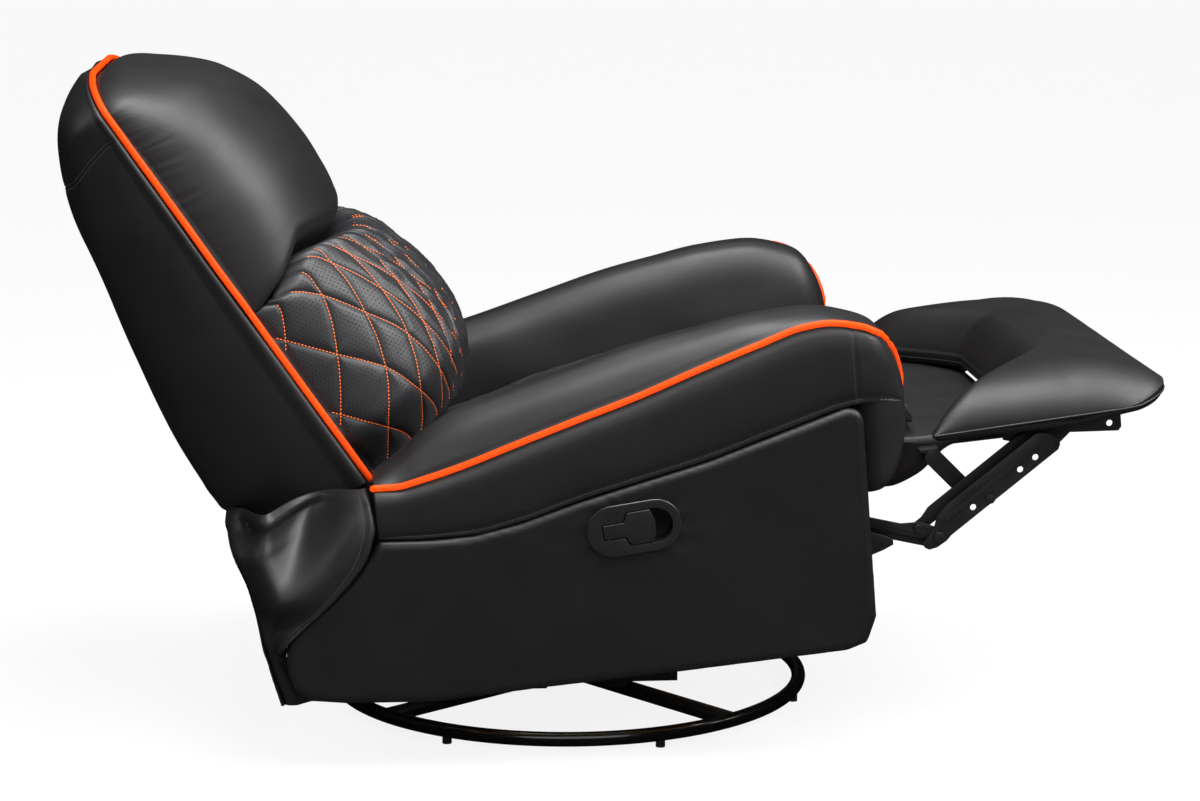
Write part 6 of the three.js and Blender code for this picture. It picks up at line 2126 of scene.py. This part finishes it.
@dataclass
class Steelwork:
    """The pressed links, plates, rails and brackets."""

    sheet: tuple[str, ...] = (
        "mech_plate_{}", "lift_link_{}", "lower_link_{}", "main_link_{}", "rise_link_{}",
        "footrest_bracket_{}", "bridge_arm_{}", "back_bracket_{}", "back_lug_{}", "rocker_{}",
    )
    bars: tuple[str, ...] = (
        "base_cross", "swivel_lower_plate", "swivel_upper_plate", "turntable_frame", "chassis_front",
        "chassis_rear", "drive_tube",
    )

    def build(self) -> None:
        """Remakes every steel node."""
        for side in Side:
            for pattern in self.sheet:
                node = pattern.format(side.word)
                hard_piece(node, f"{node}_pressed", Hold.SHEET_STEEL, FINISH.steel)
        for node in self.bars:
            hard_piece(node, f"{node}_coated", Hold.TUBE_STEEL, FINISH.steel)


@dataclass
class Base:
    """The bent floor ring on its glides."""

    radius: float = 335.0
    tube: float = 10.0
    glide_height: float = 8.0
    glide_radius: float = 6.5
    glides: int = 7
    steps: int = 128
    turn: float = math.radians(-72)

    def build(self) -> None:
        """Makes the ring and its glides."""
        path = self.on_ring(turns(self.steps), self.glide_height + self.tube)
        ring = tube("floor_ring", path, self.tube, sides=24, closed=True)
        dress(ring, FINISH.tube)
        trim_piece(ring, "base", "base_ring")
        feet = self.on_ring(self.turn + turns(self.glides) - math.pi / 2, 0)
        glides = REPEATS.posts("floor_glides", feet, FINISH.bezel, self.glide_radius, self.glide_height + 3)
        trim_piece(glides, "base")

    def on_ring(self, at: np.ndarray, height: float) -> np.ndarray:
        """Places round the swivel's axis, at the ring's radius.

        Args:
            at: the places' angles.
            height: their height in millimetres.

        Returns:
            The places in metres, one a row.
        """
        reach = self.radius * MM
        middle = joint_place("swivel")[1]
        return np.stack([reach * np.cos(at), middle + reach * np.sin(at), np.full(len(at), height * MM)], 1)


@dataclass
class Handle:
    """The release handle: a moulded surround and its paddle."""

    def build(self) -> None:
        """Remakes the surround and the paddle."""
        hard_piece("handle_bezel", "handle_surround", Hold.MOULDING, FINISH.bezel)
        hard_piece("release_paddle", "pull_paddle", Hold.MOULDING, FINISH.paddle)


@dataclass
class Inside:
    """The springs, the other bright parts and the timber frames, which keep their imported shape."""

    def build(self) -> None:
        """Gives the bright wire pieces and the timber their finishes."""
        for name, obj in frame["nodes"].items():
            if name.startswith(("rock_spring", "seat_springs", "swivel_race", "swivel_bolt", "paddle_pin")):
                dress(obj, FINISH.zinc)
            elif name.startswith(("side_frame", "front_rail", "rear_rail", "back_frame")):
                dress(obj, FINISH.timber)


@dataclass
class Apron:
    """The leather apron below the back: a flap over each side panel, joined across the rear."""

    thickness: float = 1.8
    hem_band: float = 7.0
    hem_step: float = 2.5
    stitch_in: float = 3.0
    hem: Rows = (
        (-299, 409, -318), (-294, 396, -370), (-291, 376, -400), (-294, 359, -408), (-308, 327, -409.5),
        (-334, 297, -409.5), (-369, 267, -409.5), (-399, 245, -409), (-422, 227, -409), (-430, 216, -402),
        (-431, 208, -384), (-427, 200, -365), (-420, 188, -358), (-410, 170, -357), (-402, 150, -357),
        (-397, 134, -357),
    )
    rear: Rows = (
        (-478, 384), (-490, 366), (-488, 344), (-478, 318), (-469, 290), (-463, 254), (-457, 210),
        (-450, 166), (-440, 132),
    )
    top_half: float = 292.0
    low_half: float = 371.0
    flare: tuple[float, float] = (318.0, 372.0)
    corner: float = 40.0
    corner_share: float = 0.45
    bow_at: float = 0.45
    bow: tuple[float, float] = (2.0, 3.0)
    across: int = 150
    levels: int = 96
    passes: int = 60
    waves: Wave = Wave(90, 1.2, 81, (0.35, 1, 0.5))
    lip: Rows = (
        (-303, 426, 10), (-309, 407, 14), (-331, 374, 26), (-353, 340, 38), (-373, 314, 48), (-394, 299, 54),
        (-416, 297, 62), (-440, 310, 84), (-462, 345, 100), (-480, 385, 104),
    )
    face: float = 409.5
    shelf: float = 100.0
    hollow: float = 9.0
    hem_reach: float = 22.0
    rear_blend: tuple[float, float] = (-470.0, -425.0)
    over_panel: tuple[float, float] = (236.0, 285.0)
    roll: float = 4.0

    def half_sheet(self) -> np.ndarray:
        """Draws the apron's right half.

        Returns:
            Its (x, f, z) rows, each from the hem to the middle of the rear.
        """
        hem = spline(np.array([(x, f, z) for f, z, x in self.hem]), self.levels)
        rear = spline(np.array(self.rear), self.levels)
        rows = []
        for (hx, hf, hz), (rf, rz) in zip(hem, rear):
            wide = -float(self.half_width(rz))
            round_off = min(self.corner, max(6.0, (hf - rf) * self.corner_share))
            turn = np.linspace(0, math.pi / 2, 10)
            corner = np.stack([wide + round_off * (1 - np.cos(turn)), rf + round_off * (1 - np.sin(turn))], 1)
            middle = [(wide * self.bow_at, rf - self.bow[0]), (0, rf - self.bow[1])]
            plan = np.concatenate([[(hx, hf)], corner, middle])
            plan = np.concatenate([even(spline(plan[:2], 3), 3)[:-1], plan[1:]])
            fine = spline(plan, self.across)
            z = hz + (rz - hz) * smoothstep(np.linspace(0, 1, self.across), 0, 0.5)
            rows.append(np.stack([fine[:, 0], fine[:, 1], z], 1))
        return np.array(rows)

    def half_width(self, z: np.ndarray) -> np.ndarray:
        """Half the width at the rear's height z: narrow under the back, wide over the panels."""
        return self.low_half + (self.top_half - self.low_half) * smoothstep(z, *self.flare)

    def tuck(self, sheet: np.ndarray) -> np.ndarray:
        """Draws the side in above its lip, so that a hollow lies below the back's edge.

        Args:
            sheet: the plain right half, as (x, f, z) rows.

        Returns:
            The tucked half.
        """
        x, f, z = sheet[..., 0], sheet[..., 1], sheet[..., 2]
        path = spline(np.array(self.lip), 90)
        away = np.stack([f, z], -1)[..., None, :] - path[:, :2]
        nearest = np.linalg.norm(away, axis=-1).argmin(-1)
        away = np.take_along_axis(away, nearest[..., None, None], 2)[..., 0, :]
        along = np.gradient(path[:, :2], axis=0)
        along /= np.linalg.norm(along, axis=1, keepdims=True)
        inside = away[..., 0] * along[nearest, 1] - away[..., 1] * along[nearest, 0]
        inside = inside / path[nearest, 2]
        from_hem = np.hypot(f - f[:, :1], z - z[:, :1])
        at_hem = np.clip((self.face + x[:, :1]) / self.shelf, 0, 1)
        at_hem = at_hem * np.exp(-((from_hem / self.hem_reach) ** 2))
        drawn = 1 - (1 - smoothstep(inside, 0, 1)) * (1 - at_hem)
        inset = self.shelf * drawn + self.hollow * smoothstep(inside, 0.7, 1.4)
        for _ in range(self.passes):
            inset = evened(inset, goes_round=False)
        wide = -self.half_width(z[:, -1:])
        on_side = smoothstep(f, *self.rear_blend) * (1 - smoothstep(x - wide, 0, self.corner))
        on_side = on_side * smoothstep(z, *self.over_panel)
        tucked = x * (1 - on_side) - (self.face - inset) * on_side
        return np.stack([tucked, f, z], -1)

    def drape(self, sheet: np.ndarray) -> np.ndarray:
        """How far each point stands out of the sheet: slow waves, and a roll below the back's edge.

        Args:
            sheet: the right half, as (x, f, z) rows.

        Returns:
            How far, in millimetres.
        """
        level = np.linspace(0, 1, len(sheet))[:, None]
        waves = self.waves.at(sheet * MM) * smoothstep(level, 0.0, 0.08)
        return waves + self.roll * np.sin(np.clip(level / 0.12, 0, 1) * math.pi)

    def build(self) -> None:
        """Makes the apron, its rolled hem and its stitches."""
        half = self.tuck(self.half_sheet())
        out = self.drape(half)
        length = np.linalg.norm(np.diff(half, axis=1), axis=2).mean(0).cumsum()
        length = np.concatenate([[0], length])
        near_hem = smoothstep(length, 0, 10)[None, :]
        # The hem is folded twice, so its edge stands a little proud with a step behind it.
        band = 1 - smoothstep(length, self.hem_band, self.hem_band + self.hem_step)
        band = (self.thickness * band * smoothstep(length, -0.5, 1.5))[None, :]
        place = CHAIR.place(half[..., 0], half[..., 1], half[..., 2])
        right = place + self.outward(place) * ((out * near_hem + band) * MM)[..., None]
        mirror = right[:, ::-1] * np.array([-1, 1, 1])
        sheet = np.concatenate([right, mirror[:, 1:]], 1)
        obj = self.sheet_object("apron", sheet)
        dress(obj, FINISH.smooth)
        self.bend(obj)
        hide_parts("skirt")
        paths = []
        lies = self.outward(sheet)
        stitch = int(np.searchsorted(length, self.hem_band + self.stitch_in))
        for column in (stitch, -1 - stitch):
            points, lie = sheet[2:-2, column], lies[2:-2, column]
            paths.append((points + lie * 0.4 * MM, lie))
        stitches = REPEATS.stitches(
            "stitches_apron", paths, FINISH.grey_thread, pitch=4.4, length=3.3, width=0.9
        )
        dress(stitches, FINISH.grey_thread)
        self.bend(stitches)

    def bend(self, obj: bpy.types.Object) -> None:
        """Lets a piece of the apron follow the back above and the carcass below."""
        low, high = CHAIR.place(0, -440, 215), CHAIR.place(0, -440, 372)
        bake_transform(obj, "carcass", "backrest", tuple(low), tuple(high))

    @staticmethod
    def outward(sheet: np.ndarray) -> np.ndarray:
        """The outward direction at each point of an open sheet.

        Args:
            sheet: the sheet's points in metres.

        Returns:
            The directions, each one long.
        """
        normal = np.cross(np.gradient(sheet, axis=1), np.gradient(sheet, axis=0))
        normal /= np.maximum(np.linalg.norm(normal, axis=-1, keepdims=True), 1e-12)
        middle = np.array([0, sheet[..., 1].min() - 0.4, 0])
        away = sheet - middle
        away[..., 2] = 0
        return normal if (normal * away).sum() > 0 else -normal

    @staticmethod
    def area(sheet: np.ndarray) -> float:
        """The sheet's area in square metres.

        Args:
            sheet: the sheet's points in metres.

        Returns:
            Its area.
        """
        a, b, c, d = sheet[:-1, :-1], sheet[1:, :-1], sheet[1:, 1:], sheet[:-1, 1:]
        first = np.linalg.norm(np.cross(b - a, c - a), axis=-1)
        second = np.linalg.norm(np.cross(c - a, d - a), axis=-1)
        return float((first + second).sum() / 2)

    def sheet_object(self, name: str, sheet: np.ndarray) -> bpy.types.Object:
        """Makes the closed sheet, with its thickness inward.

        Args:
            name: the object's name.
            sheet: its outer points in metres.

        Returns:
            The object.
        """
        rows, count = sheet.shape[:2]
        inner = sheet - self.outward(sheet) * self.thickness * MM
        points = np.concatenate([sheet.reshape(-1, 3), inner.reshape(-1, 3)])
        shift = rows * count
        faces = []
        for i in range(rows - 1):
            for j in range(count - 1):
                a, d = i * count + j, (i + 1) * count + j
                b, c = a + 1, d + 1
                faces.append((a, b, c, d))
                faces.append((d + shift, c + shift, b + shift, a + shift))
        ring = [
            *range(count), *(i * count + count - 1 for i in range(1, rows)),
            *(shift - 1 - j for j in range(1, count)), *(i * count for i in range(rows - 2, 0, -1)),
        ]
        for a, b in zip(ring, ring[1:] + ring[:1]):
            faces.append((b, a, a + shift, b + shift))
        return solid_object(name, points, faces)


ASSEMBLIES = (
    Base(), Steelwork(), Inside(), Handle(), Seat(), Arm(Side.RIGHT), Arm(Side.LEFT), SidePanel(Side.RIGHT),
    SidePanel(Side.LEFT), Backrest(), Apron(), Footrest(),
)


# Studio


def looking(place: tuple[float, float, float], target: tuple[float, float, float]) -> Euler:
    """The turn that makes a lamp or a camera look from a place at a target."""
    return (Vector(target) - Vector(place)).to_track_quat("-Z", "Y").to_euler()


@dataclass(frozen=True)
class Softbox:
    """A rectangular softbox: where it stands and looks, its size in metres and its power in watts."""

    name: str
    place: tuple[float, float, float]
    target: tuple[float, float, float]
    size: tuple[float, float]
    power: float

    def build(self) -> None:
        """Hangs the lamp."""
        light = bpy.data.lights.new(self.name, "AREA")
        light.shape, light.size, light.size_y, light.energy = "RECTANGLE", *self.size, self.power
        lamp = link(bpy.data.objects.new(self.name, light))
        lamp.location, lamp.rotation_euler = self.place, looking(self.place, self.target)


@dataclass
class Studio:
    """A pale floor, a white surround and large soft lamps."""

    eye: tuple[float, float, float] = (-4.210, 0.342, 1.227)
    look_at: tuple[float, float, float] = (0.0, 0.003, 0.418)
    lens: float = 90.0
    film: float = 36.0
    surround: float = 0.62
    floor_half: float = 40.0
    floor_lift: float = 0.87
    flag_inner: float = 0.05
    flag_outer: float = 5.0
    flag_low: float = 0.002
    flag_high: float = 6.5
    flag_sides: int = 64
    softboxes: tuple[Softbox, ...] = (
        Softbox("softbox_over", (-0.85, -0.15, 3.1), (-0.8, -0.15, 0.0), (1.5, 2.6), 118.0),
        Softbox("softbox_front", (-0.75, -2.4, 2.7), (-0.1, 0.3, 0.7), (1.9, 1.5), 112.0),
        Softbox("softbox_near", (-3.3, 0.1, 2.6), (0.0, 0.0, 0.4), (3.4, 2.0), 34.0),
        Softbox("softbox_rear", (-0.5, 3.2, 2.2), (0.0, 0.3, 0.6), (1.8, 1.4), 14.0),
    )

    def build(self) -> None:
        """Sets up the floor, the world, the lamps and the camera."""
        self.build_floor()
        self.build_flags()
        self.build_world()
        for softbox in self.softboxes:
            softbox.build()
        self.build_camera()
        bpy.context.scene.view_settings.view_transform = "Standard"

    def seen_white(self, tree: bpy.types.NodeTree) -> bpy.types.NodeSocket:
        """A value that is 1 for what the camera, a mirror or glass sees, and 0 for what lights the object.

        Args:
            tree: the world's tree.

        Returns:
            The value's socket.
        """
        path = add_node(tree, "ShaderNodeLightPath")
        either = add_node(
            tree, "ShaderNodeMath", {"operation": "MAXIMUM"},
            {0: path.outputs["Is Camera Ray"], 1: path.outputs["Is Glossy Ray"]},
        )
        both = add_node(
            tree, "ShaderNodeMath", {"operation": "MAXIMUM"},
            {0: either.outputs[0], 1: path.outputs["Is Transmission Ray"]},
        )
        return both.outputs[0]

    def build_world(self) -> None:
        """Makes the surround: white to the eye, soft grey as light."""
        world = bpy.data.worlds.new("surround")
        world.use_nodes = True
        tree = world.node_tree
        tree.nodes.clear()
        seen = self.seen_white(tree)
        plain, white = (
            add_node(tree, "ShaderNodeBackground", None, {"Color": (1, 1, 1, 1), "Strength": strength})
            for strength in (self.surround, 1.0)
        )
        mix = add_node(tree, "ShaderNodeMixShader", None, {0: seen, 1: plain.outputs[0], 2: white.outputs[0]})
        out = tree.nodes.new("ShaderNodeOutputWorld")
        tree.links.new(mix.outputs[0], out.inputs["Surface"])
        bpy.context.scene.world = world

    def build_floor(self) -> None:
        """Lays the pale floor."""
        half = self.floor_half
        corners = np.array([(-half, -half, 0), (half, -half, 0), (half, half, 0), (-half, half, 0)], float)
        floor = solid_object("floor", corners, [(0, 1, 2, 3)])
        # Matt paper: even, almost white, with a soft shadow under the object.
        paper = Surface("paper backdrop, matt white")
        paper.shade(Roughness=0.95, Specular_IOR_Level=0.0)
        paper.colour(900, "#F3F3F3", "#F6F6F6")
        glow = add_node(paper.tree, "ShaderNodeEmission", None, {"Color": (1, 1, 1, 1), "Strength": 1.0})
        path = add_node(paper.tree, "ShaderNodeLightPath")
        lift = add_node(
            paper.tree, "ShaderNodeMath", {"operation": "MULTIPLY"},
            {0: path.outputs["Is Camera Ray"], 1: self.floor_lift},
        )
        mix = add_node(
            paper.tree, "ShaderNodeMixShader", None,
            {0: lift.outputs[0], 1: paper.shader.outputs[0], 2: glow.outputs[0]},
        )
        paper.tree.links.new(mix.outputs[0], paper.out.inputs["Surface"])
        dress(floor, paper.material)

    def build_flags(self) -> None:
        """Stands black felt flags round the set and on its outer floor, which only mirror images show."""
        sides = self.flag_sides
        turn = turns(sides)
        rings, faces = [], []
        for radius, height in (
            (self.flag_inner, self.flag_low), (self.flag_outer, self.flag_low),
            (self.flag_outer, self.flag_high),
        ):
            rings.append(np.stack([radius * np.cos(turn), radius * np.sin(turn), np.full(sides, height)], 1))
        for k in range(2):
            for j in range(sides):
                a, b = k * sides + j, k * sides + (j + 1) % sides
                faces.append((a, b, b + sides, a + sides))
        flags = solid_object("flags", np.concatenate(rings), faces)
        # Flag felt: a fibrous black that gives back almost nothing.
        felt = Surface("felt, black")
        felt.shade(Roughness=1.0, Specular_IOR_Level=0.0)
        felt.colour(40, "#101010", "#161616")
        dress(flags, felt.material)
        flags.visible_camera = flags.visible_diffuse = flags.visible_shadow = False
        flags.visible_transmission = False

    def build_camera(self) -> None:
        """Sets the camera where the photograph was taken from."""
        lens = bpy.data.cameras.new("camera")
        lens.lens, lens.sensor_width, lens.sensor_fit = self.lens, self.film, "HORIZONTAL"
        lens.clip_start, lens.clip_end = 0.05, 200.0
        camera = link(bpy.data.objects.new("camera", lens))
        camera.location = self.eye
        camera.rotation_euler = looking(self.eye, self.look_at)
        bpy.context.scene.camera = camera


def main() -> None:
    """Builds the chair piece by piece, then the studio."""
    logging.basicConfig(level=logging.INFO, format="%(name)s: %(message)s")
    for assembly in ASSEMBLIES:
        assembly.build()
        log.info("%s built", type(assembly).__name__)
    Studio().build()


if __name__ == "__main__":
    main()
